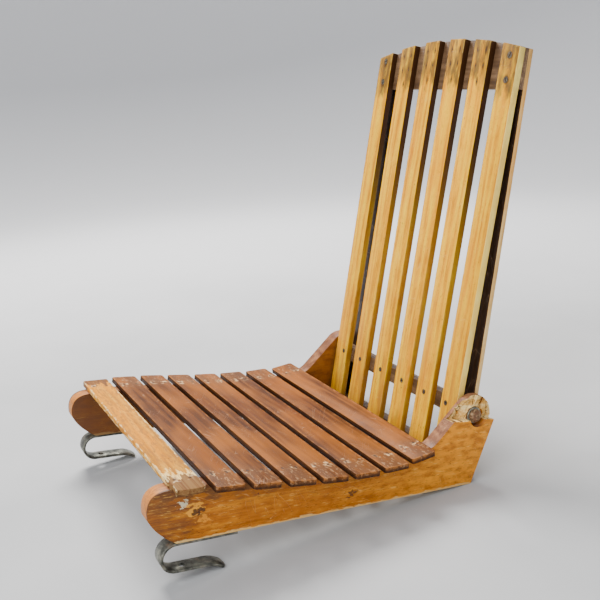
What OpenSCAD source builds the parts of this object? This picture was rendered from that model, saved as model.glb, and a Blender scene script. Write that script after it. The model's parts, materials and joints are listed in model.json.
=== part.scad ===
// Folding slatted boat seat: two side rails, a cradle of seat slats,
// a slatted back that folds flat on two pivot bolts, and a pair of steel edge hooks.
// The rails are laid out level first (heel of the rail at 0, 0, front towards -Y) and the
// whole seat is then tipped back so that it stands on its hooks and its heels.

/* [Assembly] */
// which piece to draw

/* [Seat] */
// length of a seat slat at mid length of the seat
seat_width = 386.5; // [350:0.5:470]
// how much shorter the first and last slats are, each end
seat_bow = 9; // [0:0.5:20]
// distance from one seat slat to the next
seat_pitch = 40; // [34:0.5:48]
// width of one seat slat
seat_slat_w = 32; // [26:0.5:33]
// thickness of one seat slat
seat_slat_t = 6; // [5:0.5:10]
// lowest point of the seat above the underside of the rails
seat_low = 51.6; // [45:0.5:60]
// rise of the seat towards the front
seat_rise = 13.4; // [6:0.2:14]

/* [Rails] */
// thickness of a side rail
rail_t = 19.5; // [16:0.5:25]
// how far the seat slats run past the rails
slat_overhang = 26; // [14:1:40]
// radius of the ear round the pivot
ear_r = 24.5; // [21:0.5:30]
// height of the pivot above the underside of the rails
pivot_z = 83.5; // [82:0.5:95]

/* [Back] */
// height of the back above the pivot
back_h = 443; // [360:1:540]
// clearance between the back and a rail, each side
back_gap = 3.75; // [1:0.25:6]
// width of one back slat
back_slat_w = 30; // [24:0.5:34]
// thickness of one back slat
back_slat_t = 8; // [6:0.5:10]
// rise of the arched top, middle above the ends
arch = 16; // [0:1:40]
// lean of the back from square to the rails
lean = 6.5; // [2:0.5:14]
// how far the back reaches below the pivot
back_foot = 77; // [66:1:79]

/* [Pivot] */
// diameter of a pivot bolt
bolt_d = 8; // [6:0.5:10]
// clearance between bolt and ear, all round
bolt_gap = 0.08; // [0.02:0.01:0.1]
// diameter of the bolt head
head_d = 16; // [14:0.5:18]
// counterbore in the ear
counter_d = 24; // [22:0.5:28]
// depth of the counterbore
counter_depth = 10; // [8:0.5:12]

/* [Hooks] */
// thickness of the hook strap
strap_t = 3; // [2:0.5:4]
// outer radius of the hook bend
bend_r = 16.5; // [12:0.5:22]
// length of the strap under the rail
strap_len = 67; // [50:1:90]
// straight length of the free lower leg
leg_len = 41.5; // [30:0.5:60]
// angle by which the lower leg is sprung open
leg_open = 1; // [0:0.5:6]
// length of the turned-down lip at the end of the leg
lip_len = 14; // [8:0.5:20]
// angle by which the lip turns down from the leg
lip_bend = 25; // [15:1:35]

/* [Fasteners] */
// diameter of the slat nails
nail_d = 2.6; // [2:0.1:3]
// diameter of the screws in the back
screw_d = 4.5; // [3.5:0.5:5]
// head of the screws in the back
screw_head = 8; // [7:0.5:9]

/* [Hidden] */
$fn = 48;
seat_slats = 8;
back_slats = 6;
rail_out = seat_width / 2 - slat_overhang;
rail_in = rail_out - rail_t;
// width over all of the back slats
back_w = 2 * (rail_in - back_gap);
// last and first slat centre, measured from the heel
last_y = -83.6;
first_y = last_y - seat_pitch * (seat_slats - 1);
low_y = last_y - 67;
nose_y = first_y - 39.5;
nose_top = seat_top(first_y) - seat_slat_t;
hook_y = nose_y + 31;
// pivot and the frame of the back: v runs from the front face to the rear, u up along it
pivot_y = 3.5;
bar_v = 16.5;
bar_h = 20;
bar_drop = 1;
foot_h = 16;
top_h = 60;
stile_t = 6;
gap_low = 19;
gap_high = 5.3;
stile_lean = -atan2(gap_low - gap_high, back_h + back_foot);
// stop bar ahead of the foot of the back, housed in both rails
stop_t = 16;
stop_h = 17;
stop_z = 4;
stop_housing = 5;
stop_y = back_front_y(stop_z) - 0.3;
// how far a pivot bolt reaches into its bar, and its washer and head
bolt_grip = 45;
washer_t = 1.6;
head_h = 6.5;
// the seat stands on the lips of its hooks and on its heels
bend_c = [hook_y, -bend_r];
leg_dir = [cos(leg_open), -sin(leg_open)];
lip_dir = [cos(leg_open + lip_bend), -sin(leg_open + lip_bend)];
leg_end = bend_c - bend_r * [-leg_dir[1], leg_dir[0]] + leg_len * leg_dir;
tip = leg_end + lip_len * lip_dir;
tilt = atan2(-tip[1], -tip[0]);
lip_corner = 4;
// and its length is centred on the origin
back_top_v = back_slat_t + gap_high + stile_t - bar_v;
back_top_y = stood_y(pivot_y + back_top_v * cos(lean) + back_h * sin(lean),
                     pivot_z - back_top_v * sin(lean) + back_h * cos(lean));
stand_y = -(stood_y(nose_y, nose_top - 18) + back_top_y) / 2;

oak = [0.72, 0.50, 0.24];
dark_oak = [0.55, 0.36, 0.22];
steel = [0.35, 0.35, 0.36];
rust = [0.38, 0.28, 0.22];

// height of the slat tops: a soft rise to the front, a quicker one to the rear
function seat_top(y) =
    y < low_y
    ? seat_low + seat_rise * (1 - cos(180 * min(1, (low_y - y) / (low_y - first_y + 6)))) / 2
    : seat_low + 7.8 * pow((y - low_y) / 82, 2.6);
function slat_angle(y) = atan2(seat_top(y + 2) - seat_top(y - 2), 4);
function slat_y(i) = first_y + seat_pitch * i;

// a point of slat i: a along its width, b up from its underside
function slat_point(i, a, b) =
    let (y = slat_y(i), z = seat_top(y) - seat_slat_t, g = slat_angle(y))
    [y + a * cos(g) - b * sin(g), z + a * sin(g) + b * cos(g)];

// bowed outline of the seat: half length of slat i
function half_slat(i) =
    seat_width / 2 - seat_bow * pow(abs(2 * i / (seat_slats - 1) - 1), 3);

function arc(c, r, a0, a1, n) = [for (k = [0:n])
    c + r * [cos(a0 + (a1 - a0) * k / n), sin(a0 + (a1 - a0) * k / n)]];
function curve(p0, p1, p2, n) = [for (k = [0:n])
    let (t = k / n) (1 - t) * (1 - t) * p0 + 2 * t * (1 - t) * p1 + t * t * p2];

// side outline of a rail, drawn in Y and Z
module rail_outline() {
    heel = [0, 0];
    pivot = [pivot_y, pivot_z];
    reach = norm(pivot - heel);
    rear_dir = atan2(pivot[1], pivot[0] - heel[0]) - asin(ear_r / reach);
    shoulder = pivot + ear_r * [cos(135), sin(135)];
    last = slat_point(seat_slats - 1, seat_slat_w / 2, 0);
    foot_line = [last[0] + 15, shoulder[1] - (shoulder[0] - last[0] - 15)];
    polygon(concat(
        [heel],
        arc(pivot, ear_r, rear_dir - 90, 135, 24),
        curve(foot_line, [last[0] + 8, foot_line[1] - 7], last, 8),
        [for (k = [0:2 * seat_slats - 1])
            let (i = seat_slats - 1 - floor(k / 2))
            slat_point(i, k % 2 == 0 ? seat_slat_w / 2 : -seat_slat_w / 2, 0)],
        curve([nose_y + 22, nose_top], [nose_y, nose_top - 1], [nose_y, nose_top - 22], 10),
        curve([nose_y + 0.5, nose_top - 28], [nose_y + 8, 14], [hook_y, 0], 8)));
}

// a plate drawn in Y and Z and spread from x0 to x1
module plate(x0, x1) {
    translate([x0, 0, 0])
        rotate([90, 0, 90])
            linear_extrude(x1 - x0) children();
}

// a straight rod along X
module rod_x(x0, x1, y, z, d) {
    translate([x0, y, z])
        rotate([0, 90, 0]) cylinder(h = x1 - x0, d = d);
}

// everything is drawn on level rails and then stood on its hooks
module standing() {
    translate([0, stand_y, 0])
        rotate([-tilt, 0, 0]) children();
}
function stood_y(y, z) = y * cos(tilt) + z * sin(tilt);

module right_or_left(side) {
    if (side < 0) mirror([1, 0, 0]) children();
    else children();
}

// ---- seat frame ----
module rail_blank() {
    difference() {
        plate(rail_in, rail_out) rail_outline();
        rod_x(rail_in - 1, rail_out + 1, pivot_y, pivot_z, bolt_d + 2 * bolt_gap);
        rod_x(rail_out - counter_depth, rail_out + 1, pivot_y, pivot_z, counter_d);
        // housing for the stop bar
        translate([rail_in - 1, stop_y - stop_t, stop_z]) cube([1 + stop_housing, stop_t, stop_h]);
        for (i = [0:seat_slats - 1])
            for (s = [-1, 1]) nail_hole(i, s);
        hook_screw_shapes();
    }
}

// front face of the back at height z on level rails
function back_front_y(z) =
    pivot_y - bar_v / cos(lean) + (z - pivot_z) * tan(lean);

module rail_right() {
    color(oak) standing() mirror([1, 0, 0]) rail_blank();
}
module rail_left() {
    // the outer half of the ear has split off above the pivot
    color(oak) standing() difference() {
        rail_blank();
        plate(rail_out - counter_depth, rail_out + 1)
            polygon([[-60, 82.5], [-20, 80.5], [20, 78.5], [50, 74], [50, 130], [-60, 130]]);
    }
}

module stop_bar() {
    color(dark_oak) standing()
        translate([-rail_in - stop_housing, stop_y - stop_t, stop_z])
            cube([2 * (rail_in + stop_housing), stop_t, stop_h]);
}

module seat_slat(i) {
    y = slat_y(i);
    color(dark_oak) standing() difference() {
        translate([0, y, seat_top(y) - seat_slat_t])
            rotate([slat_angle(y), 0, 0])
                translate([-half_slat(i), -seat_slat_w / 2, 0])
                    cube([2 * half_slat(i), seat_slat_w, seat_slat_t]);
        for (m = [0, 1])
            mirror([m, 0, 0]) for (s = [-1, 1]) nail_hole(i, s);
        if (i == 0) {
            // splintered front corner
            translate([half_slat(0), 0, 0])
                plate_z([[1, first_y - 30], [-26, first_y - 30], [-22, first_y - 15.8],
                         [-6, first_y - 14.2], [1, first_y - 12.5]]);
        }
    }
}
module plate_z(points) {
    translate([0, 0, 20]) linear_extrude(100) polygon(points);
}

module nail_hole(i, s) {
    nail(i, s, 20.5);
}
// one nail: head end flush with the top of the slat, over the middle of the rail
module nail(i, s, length) {
    y = slat_y(i);
    translate([(rail_in + rail_out) / 2, y, seat_top(y) - seat_slat_t])
        rotate([slat_angle(y), 0, 0])
            translate([0, s * seat_slat_w * 0.26, seat_slat_t - length])
                cylinder(h = length, d = nail_d, $fn = 20);
}
module seat_nails() {
    color(rust) standing() for (i = [0:seat_slats - 1])
        for (m = [0, 1])
            mirror([m, 0, 0]) for (s = [-1, 1]) nail(i, s, 20.5);
}

// ---- hooks ----
module hook_side() {
    r_in = bend_r - strap_t;
    leg_up = [-leg_dir[1], leg_dir[0]];
    lip_up = [-lip_dir[1], lip_dir[0]];
    polygon(concat(
        [[hook_y + strap_len, 0]],
        arc(bend_c, bend_r, 90, 270 - leg_open, 24),
        [leg_end, tip, tip + strap_t * lip_up,
         leg_end + strap_t * (leg_up + lip_up) / (1 + leg_up * lip_up)],
        arc(bend_c, r_in, 270 - leg_open, 90, 24),
        [[hook_y + strap_len, -strap_t]]));
}
module hook() {
    mid = (rail_in + rail_out) / 2;
    difference() {
        plate(rail_in, rail_out) hook_side();
        // rounded corners of the lip
        for (s = [-1, 1])
            translate([mid + s * (rail_t / 2 - lip_corner), tip[0], tip[1]])
                rotate([-leg_open - lip_bend, 0, 0])
                    translate([0, -lip_corner, -strap_t]) difference() {
                        translate([s > 0 ? 0 : -2 * lip_corner, 0, 0])
                            cube([2 * lip_corner, 2 * lip_corner, 3 * strap_t]);
                        translate([0, 0, -1]) cylinder(h = 3 * strap_t + 2, r = lip_corner);
                    }
        // access hole below the front screw
        translate([mid, hook_y + 9, -bend_r * 3]) cylinder(h = bend_r * 2.5, d = 7);
        hook_screw_shapes();
    }
}
module hook_right() {
    color(steel) standing() mirror([1, 0, 0]) hook();
}
module hook_left() {
    color(steel) standing() hook();
}
module hook_screw_shapes() {
    mid = (rail_in + rail_out) / 2;
    for (p = [hook_y + 9, hook_y + 50])
        translate([mid, p, -strap_t]) {
            cylinder(h = 18, d = 3.6, $fn = 24);
            cylinder(h = 2, d1 = 7, d2 = 3.6, $fn = 24);
        }
}
module hook_screws() {
    color(steel) standing() for (m = [0, 1])
        mirror([m, 0, 0]) hook_screw_shapes();
}

// ---- back ----
// leaning frame: x across, y from the front face rearward, z up along the back, 0 at the pivot
module leaning() {
    translate([0, pivot_y, pivot_z])
        rotate([-lean, 0, 0])
            translate([0, -bar_v, 0]) children();
}
function slat_x(i) = (i / (back_slats - 1) - 0.5) * (back_w - back_slat_w)
    + (i == 2 || i == 3 ? 1.5 : 0);
// gap between the rear of the slats and the front of the stiles at height u
function stile_gap(u) = gap_low + (gap_high - gap_low) * (u + back_foot) / (back_h + back_foot);
// arched top edge, a little higher towards the left
module arch_cut(x0, x1, y0, y1) {
    r = (back_w * back_w / 4 + arch * arch) / (2 * arch);
    translate([10, y0 - 1, back_h - r])
        rotate([-90, 0, 0]) difference() {
            translate([-back_w, -r - 60, 0]) cube([2 * back_w, 60 + arch + 50, y1 - y0 + 2]);
            cylinder(h = 3 * (y1 - y0 + 2), r = r, center = true, $fn = 360);
        }
}
module back_slat(i) {
    x = slat_x(i);
    color(oak) standing() leaning() difference() {
        translate([x - back_slat_w / 2, 0, -back_foot])
            cube([back_slat_w, back_slat_t, back_foot + back_h]);
        arch_cut(-200, 200, 0, back_slat_t);
        bar_screw_shapes();
        foot_screw_shapes();
        top_screw_shapes();
        top_nail_shapes();
    }
}
// a cross piece of the back between heights u0 and u1, as thick as the space it fills
module cross_piece(u0, u1) {
    translate([-back_w / 2, 0, 0]) rotate([90, 0, 90])
        linear_extrude(back_w)
            polygon([[back_slat_t, u0], [back_slat_t + stile_gap(u0), u0],
                     [back_slat_t + stile_gap(u1), u1], [back_slat_t, u1]]);
}
module pivot_bar() {
    color(dark_oak) standing() leaning() difference() {
        cross_piece(bar_drop - bar_h / 2, bar_drop + bar_h / 2);
        for (m = [0, 1])
            mirror([m, 0, 0]) rod_x(back_w / 2 - bolt_grip, back_w, bar_v, 0, bolt_d);
        bar_screw_shapes();
        stile_screw_shapes();
    }
}
module foot_bar() {
    color(dark_oak) standing() leaning() difference() {
        cross_piece(-back_foot, -back_foot + foot_h);
        foot_screw_shapes();
        stile_screw_shapes();
    }
}
module top_rail() {
    color(dark_oak) standing() leaning() difference() {
        cross_piece(back_h - top_h, back_h);
        arch_cut(-200, 200, 0, 40);
        top_screw_shapes();
        top_nail_shapes();
    }
}
module stile(side) {
    color(oak) standing() leaning() difference() {
        right_or_left(side)
            translate([back_w / 2 - back_slat_w, 0, 0]) rotate([90, 0, 90])
                linear_extrude(back_slat_w)
                    polygon([[back_slat_t + stile_gap(-back_foot), -back_foot],
                             [back_slat_t + stile_gap(-back_foot) + stile_t, -back_foot],
                             [back_slat_t + stile_gap(back_h) + stile_t, back_h],
                             [back_slat_t + stile_gap(back_h), back_h]]);
        arch_cut(-200, 200, 0, 60);
        top_screw_shapes();
        stile_screw_shapes();
    }
}
module stile_right() { stile(-1); }
module stile_left() { stile(1); }

// countersunk screw driven from the front face, flush with it
module front_screw(x, u, d, head, length) {
    translate([x, 0, u]) rotate([-90, 0, 0]) {
        cylinder(h = length, d = d, $fn = 24);
        cylinder(h = head / 2 - d / 4, d1 = head, d2 = d, $fn = 32);
    }
}
module bar_screw_shapes() {
    for (i = [0:back_slats - 1])
        front_screw(slat_x(i) + (i == 0 ? 6 : i == back_slats - 1 ? -6 : 0),
                    bar_drop + 3, screw_d * 0.8, screw_head * 0.85,
                    (i == 0 || i == back_slats - 1) ? 11 : 20);
}
module foot_screw_shapes() {
    for (i = [0:back_slats - 1])
        front_screw(slat_x(i), -back_foot + foot_h / 2, screw_d * 0.8, screw_head * 0.85, 20);
}
module top_screw_shapes() {
    for (s = [-1, 1])
        for (u = [back_h - 23, back_h - 51])
            front_screw(s * (back_w / 2 - back_slat_w / 2), u, screw_d, screw_head, 19);
}
module stile_screw_shapes() {
    for (s = [-1, 1])
        for (u = [bar_drop, -back_foot + foot_h / 2 + 4.5])
            translate([s * (back_w / 2 - back_slat_w / 2 - 7), back_slat_t + stile_gap(u) + stile_t, u])
                rotate([90 - stile_lean, 0, 0]) {
                    cylinder(h = 9.5, d = 3.6, $fn = 24);
                    cylinder(h = 2, d1 = 7, d2 = 3.6, $fn = 24);
                }
}
module top_nail_shapes() {
    for (i = [1:back_slats - 2])
        for (p = [[-8, 12], [8, 12], [-7, 30], [7, 30], [0, 49]])
            translate([slat_x(i) + p[0], 0, arch_u(slat_x(i)) - p[1]])
                rotate([-90, 0, 0]) cylinder(h = 12, d = nail_d, $fn = 20);
}
function arch_u(x) =
    let (r = (back_w * back_w / 4 + arch * arch) / (2 * arch))
    back_h - r + sqrt(r * r - (x - 10) * (x - 10));

module bar_screws() {
    color(steel) standing() leaning() bar_screw_shapes();
}
module foot_screws() {
    color(steel) standing() leaning() foot_screw_shapes();
}
module top_screws() {
    color(steel) standing() leaning() top_screw_shapes();
}
module stile_screws() {
    color(steel) standing() leaning() stile_screw_shapes();
}
module top_nails() {
    color(rust) standing() leaning() top_nail_shapes();
}

// ---- pivots ----
module pivot_bolt(side) {
    x_seat = rail_out - counter_depth + washer_t + 0.1;
    color(rust) standing() right_or_left(side) union() {
        rod_x(back_w / 2 - bolt_grip, x_seat + 1, pivot_y, pivot_z, bolt_d);
        rod_x(x_seat, x_seat + head_h, pivot_y, pivot_z, head_d);
    }
}
module pivot_bolt_right() { pivot_bolt(-1); }
module pivot_bolt_left() { pivot_bolt(1); }
module pivot_washer(side) {
    color(steel) standing() right_or_left(side)
        difference() {
            rod_x(rail_out - counter_depth + 0.1, rail_out - counter_depth + 0.1 + washer_t,
                  pivot_y, pivot_z, 20);
            rod_x(rail_out - counter_depth - 1, rail_out, pivot_y, pivot_z, bolt_d);
        }
}
module washer_right() { pivot_washer(-1); }
module washer_left() { pivot_washer(1); }

rail_right();
rail_left();
stop_bar();
seat_slat(0);  // seat_slat_1
seat_slat(1);  // seat_slat_2
seat_slat(2);  // seat_slat_3
seat_slat(3);  // seat_slat_4
seat_slat(4);  // seat_slat_5
seat_slat(5);  // seat_slat_6
seat_slat(6);  // seat_slat_7
seat_slat(7);  // seat_slat_8
hook_right();
hook_left();
hook_screws();
seat_nails();
back_slat(0);  // back_slat_1
back_slat(1);  // back_slat_2
back_slat(2);  // back_slat_3
back_slat(3);  // back_slat_4
back_slat(4);  // back_slat_5
back_slat(5);  // back_slat_6
stile_right();
stile_left();
top_rail();
pivot_bar();
foot_bar();
pivot_bolt_right();
pivot_bolt_left();
washer_right();
washer_left();
top_screws();
bar_screws();
foot_screws();
stile_screws();
top_nails();
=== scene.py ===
import bpy
import bmesh
import json
import math
import random
from mathutils import Matrix, Vector, noise


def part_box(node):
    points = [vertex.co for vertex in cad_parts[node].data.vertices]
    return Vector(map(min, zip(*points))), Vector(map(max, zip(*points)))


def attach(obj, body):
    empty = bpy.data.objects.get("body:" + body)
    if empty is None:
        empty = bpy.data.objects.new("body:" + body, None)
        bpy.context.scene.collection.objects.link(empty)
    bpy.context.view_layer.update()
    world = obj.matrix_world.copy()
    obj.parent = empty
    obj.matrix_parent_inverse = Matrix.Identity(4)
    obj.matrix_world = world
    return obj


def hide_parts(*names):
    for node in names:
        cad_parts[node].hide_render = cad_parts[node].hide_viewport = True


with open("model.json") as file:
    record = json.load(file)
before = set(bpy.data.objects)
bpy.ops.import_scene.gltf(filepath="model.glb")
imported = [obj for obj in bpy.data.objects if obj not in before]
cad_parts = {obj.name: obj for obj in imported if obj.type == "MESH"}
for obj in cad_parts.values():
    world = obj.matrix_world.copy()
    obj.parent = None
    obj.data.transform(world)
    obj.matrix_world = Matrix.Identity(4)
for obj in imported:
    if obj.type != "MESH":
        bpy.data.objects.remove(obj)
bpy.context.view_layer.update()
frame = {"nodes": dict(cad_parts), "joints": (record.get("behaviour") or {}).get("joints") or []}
print("frame loaded")


# shapes that follow a rule: the cradle of seat slats, the rails below it and the hooks
seat = {"count": 8, "pitch": 0.040, "lastY": -0.0836, "length": 0.3865, "width": 0.032,
        "thick": 0.006, "bow": 0.009, "low": 0.0516, "rise": 0.0134,
        "rearRise": 0.0078, "rearRun": 0.082, "rearCurve": 2.6}
rail = {"ear": 0.0245, "pivotY": 0.0035, "pivotZ": 0.0835, "boreWidth": 0.0082,
        "counterWidth": 0.024, "counterDepth": 0.010, "edge": 0.0013,
        "tear": 62}          # how steeply the torn ear's strips run, in degrees
hook = {"thick": 0.003, "bend": 0.0165, "under": 0.067, "leg": 0.0415, "open": 1.0,
        "lip": 0.014, "lipBend": 25.0, "lipSoft": 0.006, "hole": 0.007, "edge": 0.0006,
        "tipRound": 0.004, "screwFrom": 0.009, "screwTo": 0.050}
back = {"count": 6, "height": 0.443, "foot": 0.077, "width": 0.288, "slatWidth": 0.030,
        "thick": 0.008, "arch": 0.016, "archShift": 0.010, "lean": 6.5, "barDepth": 0.0165,
        "gapLow": 0.019, "gapHigh": 0.0053, "stile": 0.006, "edge": 0.0009}
seat["firstY"] = seat["lastY"] - seat["pitch"] * (seat["count"] - 1)
seat["lowY"] = seat["lastY"] - 0.067
noseY = seat["firstY"] - 0.0395
hookY = noseY + 0.031


def seatTop(y):
    # the dished line of the slats' upper faces, from the nose to the last slat
    if y < seat["lowY"]:
        share = min(1, (seat["lowY"] - y) / (seat["lowY"] - seat["firstY"] + 0.006))
        return seat["low"] + seat["rise"] * (1 - math.cos(math.pi * share)) / 2
    return seat["low"] + seat["rearRise"] * ((y - seat["lowY"]) / seat["rearRun"]) ** seat["rearCurve"]


def slatAngle(y):
    return math.atan2(seatTop(y + 0.002) - seatTop(y - 0.002), 0.004)


def slatY(i):
    return seat["firstY"] + seat["pitch"] * i


def slatReach(i):
    return seat["length"] / 2 - seat["bow"] * abs(2 * i / (seat["count"] - 1) - 1) ** 3


def backSlatX(i):
    span = back["width"] - back["slatWidth"]
    return (i / (back["count"] - 1) - 0.5) * span + (0.0015 if i in (2, 3) else 0)


def archHeight(x):
    radius = (back["width"] ** 2 / 4 + back["arch"] ** 2) / (2 * back["arch"])
    return back["height"] - radius + math.sqrt(radius ** 2 - (x - back["archShift"]) ** 2)


def stileGap(u):
    share = (u + back["foot"]) / (back["height"] + back["foot"])
    return back["gapLow"] + (back["gapHigh"] - back["gapLow"]) * share


def heading(degrees):
    return Vector((math.cos(math.radians(degrees)), math.sin(math.radians(degrees))))


def arcPoints(centre, radius, startDeg, endDeg, steps):
    return [Vector(centre) + radius * heading(startDeg + (endDeg - startDeg) * k / steps)
            for k in range(steps + 1)]


def bendPoints(a, b, c, steps):
    a, b, c = Vector(a), Vector(b), Vector(c)
    return [(1 - t) ** 2 * a + 2 * t * (1 - t) * b + t * t * c
            for t in (k / steps for k in range(steps + 1))]


def hookPath():
    # underside of the strap as points in Y and Z, from its rear end round the bend to the lip
    centre = Vector((hookY, -hook["bend"]))
    legWay = heading(-hook["open"])
    lipWay = heading(-hook["open"] - hook["lipBend"])
    points = [Vector((hookY + hook["under"] * k / 8, 0)) for k in range(8, 0, -1)]
    points += [centre + hook["bend"] * heading(a) for a in
               (90 + (180 - hook["open"]) * k / 24 for k in range(25))]
    corner = points[-1] + hook["leg"] * legWay
    points += [points[-1] + (corner - points[-1]) * k / 6 for k in range(1, 6)]
    soft = hook["lipSoft"]
    points += bendPoints(corner - soft * legWay, corner, corner + soft * lipWay, 6)
    tip = corner + hook["lip"] * lipWay
    points += [points[-1] + (tip - points[-1]) * k / 5 for k in range(1, 6)]
    return points


# the seat stands tipped back on its hook lips and heels, and the back leans a little more
lipTip = hookPath()[-1]
tilt = math.atan2(-lipTip.y, -lipTip.x)
hinge = Vector(frame["joints"][0]["pos_m"])
railSpace = (Matrix.Translation(hinge) @ Matrix.Rotation(-tilt, 4, "X")
             @ Matrix.Translation((0, -rail["pivotY"], -rail["pivotZ"])))
backSpace = (Matrix.Translation(hinge) @ Matrix.Rotation(-tilt - math.radians(back["lean"]), 4, "X")
             @ Matrix.Translation((0, -back["barDepth"], 0)))
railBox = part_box("rail_left")
railInner, railOuter = railBox[0].x, railBox[1].x
railMiddle = (railInner + railOuter) / 2


# mesh helpers
def addObject(name, mesh):
    obj = bpy.data.objects.new(name, mesh)
    bpy.context.scene.collection.objects.link(obj)
    return obj


def meshFrom(name, bm):
    mesh = bpy.data.meshes.new(name)
    bm.to_mesh(mesh)
    bm.free()
    return mesh


def useModifier(obj, kind, **settings):
    modifier = obj.modifiers.new(kind.title(), kind)
    for key, value in settings.items():
        setattr(modifier, key, value)
    return modifier


def freezeModifiers(obj):
    # the object's mesh becomes its evaluated result and the modifiers go
    graph = bpy.context.evaluated_depsgraph_get()
    graph.update()
    made = bpy.data.meshes.new_from_object(obj.evaluated_get(graph), preserve_all_data_layers=True,
                                           depsgraph=graph)
    obj.modifiers.clear()
    old, obj.data = obj.data, made
    bpy.data.meshes.remove(old)
    return obj


def smoothFaces(obj, degrees=38):
    obj.data.shade_smooth()
    obj.data.set_sharp_from_angle(angle=math.radians(degrees))
    return obj


def spacedOut(points, gap):
    # a closed outline with extra points, so that no side is longer than the gap
    out = []
    for k, a in enumerate(points):
        b = points[(k + 1) % len(points)]
        parts = max(1, round((b - a).length / gap))
        out += [a + (b - a) * s / parts for s in range(parts)]
    return out


def faceOutwards(bm):
    bmesh.ops.recalc_face_normals(bm, faces=bm.faces)
    if bm.calc_volume(signed=True) < 0:
        bmesh.ops.reverse_faces(bm, faces=bm.faces)


def loftMesh(name, loops):
    # closed loops of points joined one to the next, with both ends capped
    bm = bmesh.new()
    rings = [[bm.verts.new(p) for p in loop] for loop in loops]
    for a, b in zip(rings, rings[1:]):
        for k in range(len(a)):
            n = (k + 1) % len(a)
            bm.faces.new((a[k], a[n], b[n], b[k]))
    bm.faces.new(rings[0])
    bm.faces.new(list(reversed(rings[-1])))
    faceOutwards(bm)
    return meshFrom(name, bm)


def prismMesh(name, outline, x0, x1):
    return loftMesh(name, [[(x, p[0], p[1]) for p in outline] for x in (x0, x1)])


def latheMesh(name, profile, steps=40):
    # turns a profile of (radius, x) points round the X axis
    bm = bmesh.new()
    rings = []
    for radius, x in profile:
        if radius < 1e-6:
            rings.append([bm.verts.new((x, 0, 0))])
        else:
            rings.append([bm.verts.new((x, radius * math.cos(2 * math.pi * k / steps),
                                        radius * math.sin(2 * math.pi * k / steps)))
                          for k in range(steps)])
    for a, b in zip(rings, rings[1:]):
        for k in range(steps):
            n = (k + 1) % steps
            corners = [a[k % len(a)], a[n % len(a)], b[n % len(b)], b[k % len(b)]]
            corners = [v for j, v in enumerate(corners) if v not in corners[:j]]
            if len(corners) > 2:
                bm.faces.new(corners)
    faceOutwards(bm)
    return meshFrom(name, bm)


def rodMesh(name, centre, radius, x0, x1, steps=48):
    mesh = latheMesh(name, [(0, x0), (radius, x0), (radius, x1), (0, x1)], steps)
    mesh.transform(Matrix.Translation((0, centre[0], centre[1])))
    return mesh


def subtract(obj, mesh):
    cutter = addObject("cutter", mesh)
    useModifier(obj, "BOOLEAN", operation="DIFFERENCE", solver="EXACT", object=cutter,
                material_mode="TRANSFER")
    freezeModifiers(obj)
    bpy.data.objects.remove(cutter)
    # the cut leaves tiny edges behind, which would spoil the next one
    bm = bmesh.new()
    bm.from_mesh(obj.data)
    bmesh.ops.remove_doubles(bm, verts=bm.verts, dist=1e-6)
    bmesh.ops.dissolve_degenerate(bm, edges=bm.edges, dist=1e-6)
    bm.to_mesh(obj.data)
    bm.free()
    return obj


wear = {"sharpFrom": 40, "grain": 60, "depth": 0.6, "least": 0.3, "segments": 2}


def softenEdges(obj, width, seed):
    # rounds the sharp edges by an uneven amount, as use does
    bm = bmesh.new()
    bm.from_mesh(obj.data)
    layers = bm.edges.layers.float
    layer = layers.get("bevel_weight_edge") or layers.new("bevel_weight_edge")
    for edge in bm.edges:
        if len(edge.link_faces) == 2 and edge.calc_face_angle(0) > math.radians(wear["sharpFrom"]):
            middle = (edge.verts[0].co + edge.verts[1].co) / 2
            rubbed = noise.noise(middle * wear["grain"] + Vector((seed, 0, 0)))
            edge[layer] = min(1, max(wear["least"], 1 - wear["depth"] / 2 + wear["depth"] * rubbed))
    bm.to_mesh(obj.data)
    bm.free()
    useModifier(obj, "BEVEL", width=width, segments=wear["segments"], limit_method="WEIGHT",
                use_clamp_overlap=True)
    return freezeModifiers(obj)


def storeGrain(obj, order, plank, centre=(0, 0, 0)):
    # place: metres along the grain, across it and through the board; plank: which board it is
    place = obj.data.attributes.new("place", "FLOAT_VECTOR", "POINT")
    for k, vert in enumerate(obj.data.vertices):
        local = vert.co - Vector(centre)
        place.data[k].vector = [local[a] for a in order]
    number = obj.data.attributes.new("plank", "FLOAT", "POINT")
    for item in number.data:
        item.value = plank


def settle(obj, space, body, slot, *nodes):
    # moves a finished mesh into place and hands it to the frame
    if space is not None:
        obj.data.transform(space)
    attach(obj, body)
    if nodes:
        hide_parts(*nodes)
    return obj


# node helpers, used by the materials and by the geometry trees
def feed(tree, socket, value):
    if isinstance(value, bpy.types.NodeSocket):
        tree.links.new(value, socket)
    elif value is not None:
        socket.default_value = value


def addNode(tree, kind, wires=None, **settings):
    node = tree.nodes.new(kind)
    count = len(tree.nodes)
    node.location = (count // 8 * 220, -(count % 8) * 190)
    for key, value in settings.items():
        setattr(node, key, value)
    for key, value in (wires or {}).items():
        feed(tree, node.inputs[key], value)
    return node


def calc(tree, operation, a, b=None, clamp=False):
    return addNode(tree, "ShaderNodeMath", {0: a, 1: b}, operation=operation,
                   use_clamp=clamp).outputs[0]


def vectorCalc(tree, operation, a, b=None):
    node = addNode(tree, "ShaderNodeVectorMath", {0: a}, operation=operation)
    if operation == "SCALE":
        feed(tree, node.inputs["Scale"], b)
    else:
        feed(tree, node.inputs[1], b)
    return node.outputs["Value" if operation in ("LENGTH", "DOT_PRODUCT", "DISTANCE") else "Vector"]


def spanOf(tree, value, low, high, bottom=0.0, top=1.0):
    # smooth step from bottom to top as the value goes from low to high
    return addNode(tree, "ShaderNodeMapRange", {"Value": value, "From Min": low, "From Max": high,
                                                "To Min": bottom, "To Max": top},
                   interpolation_type="SMOOTHSTEP").outputs["Result"]


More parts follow.
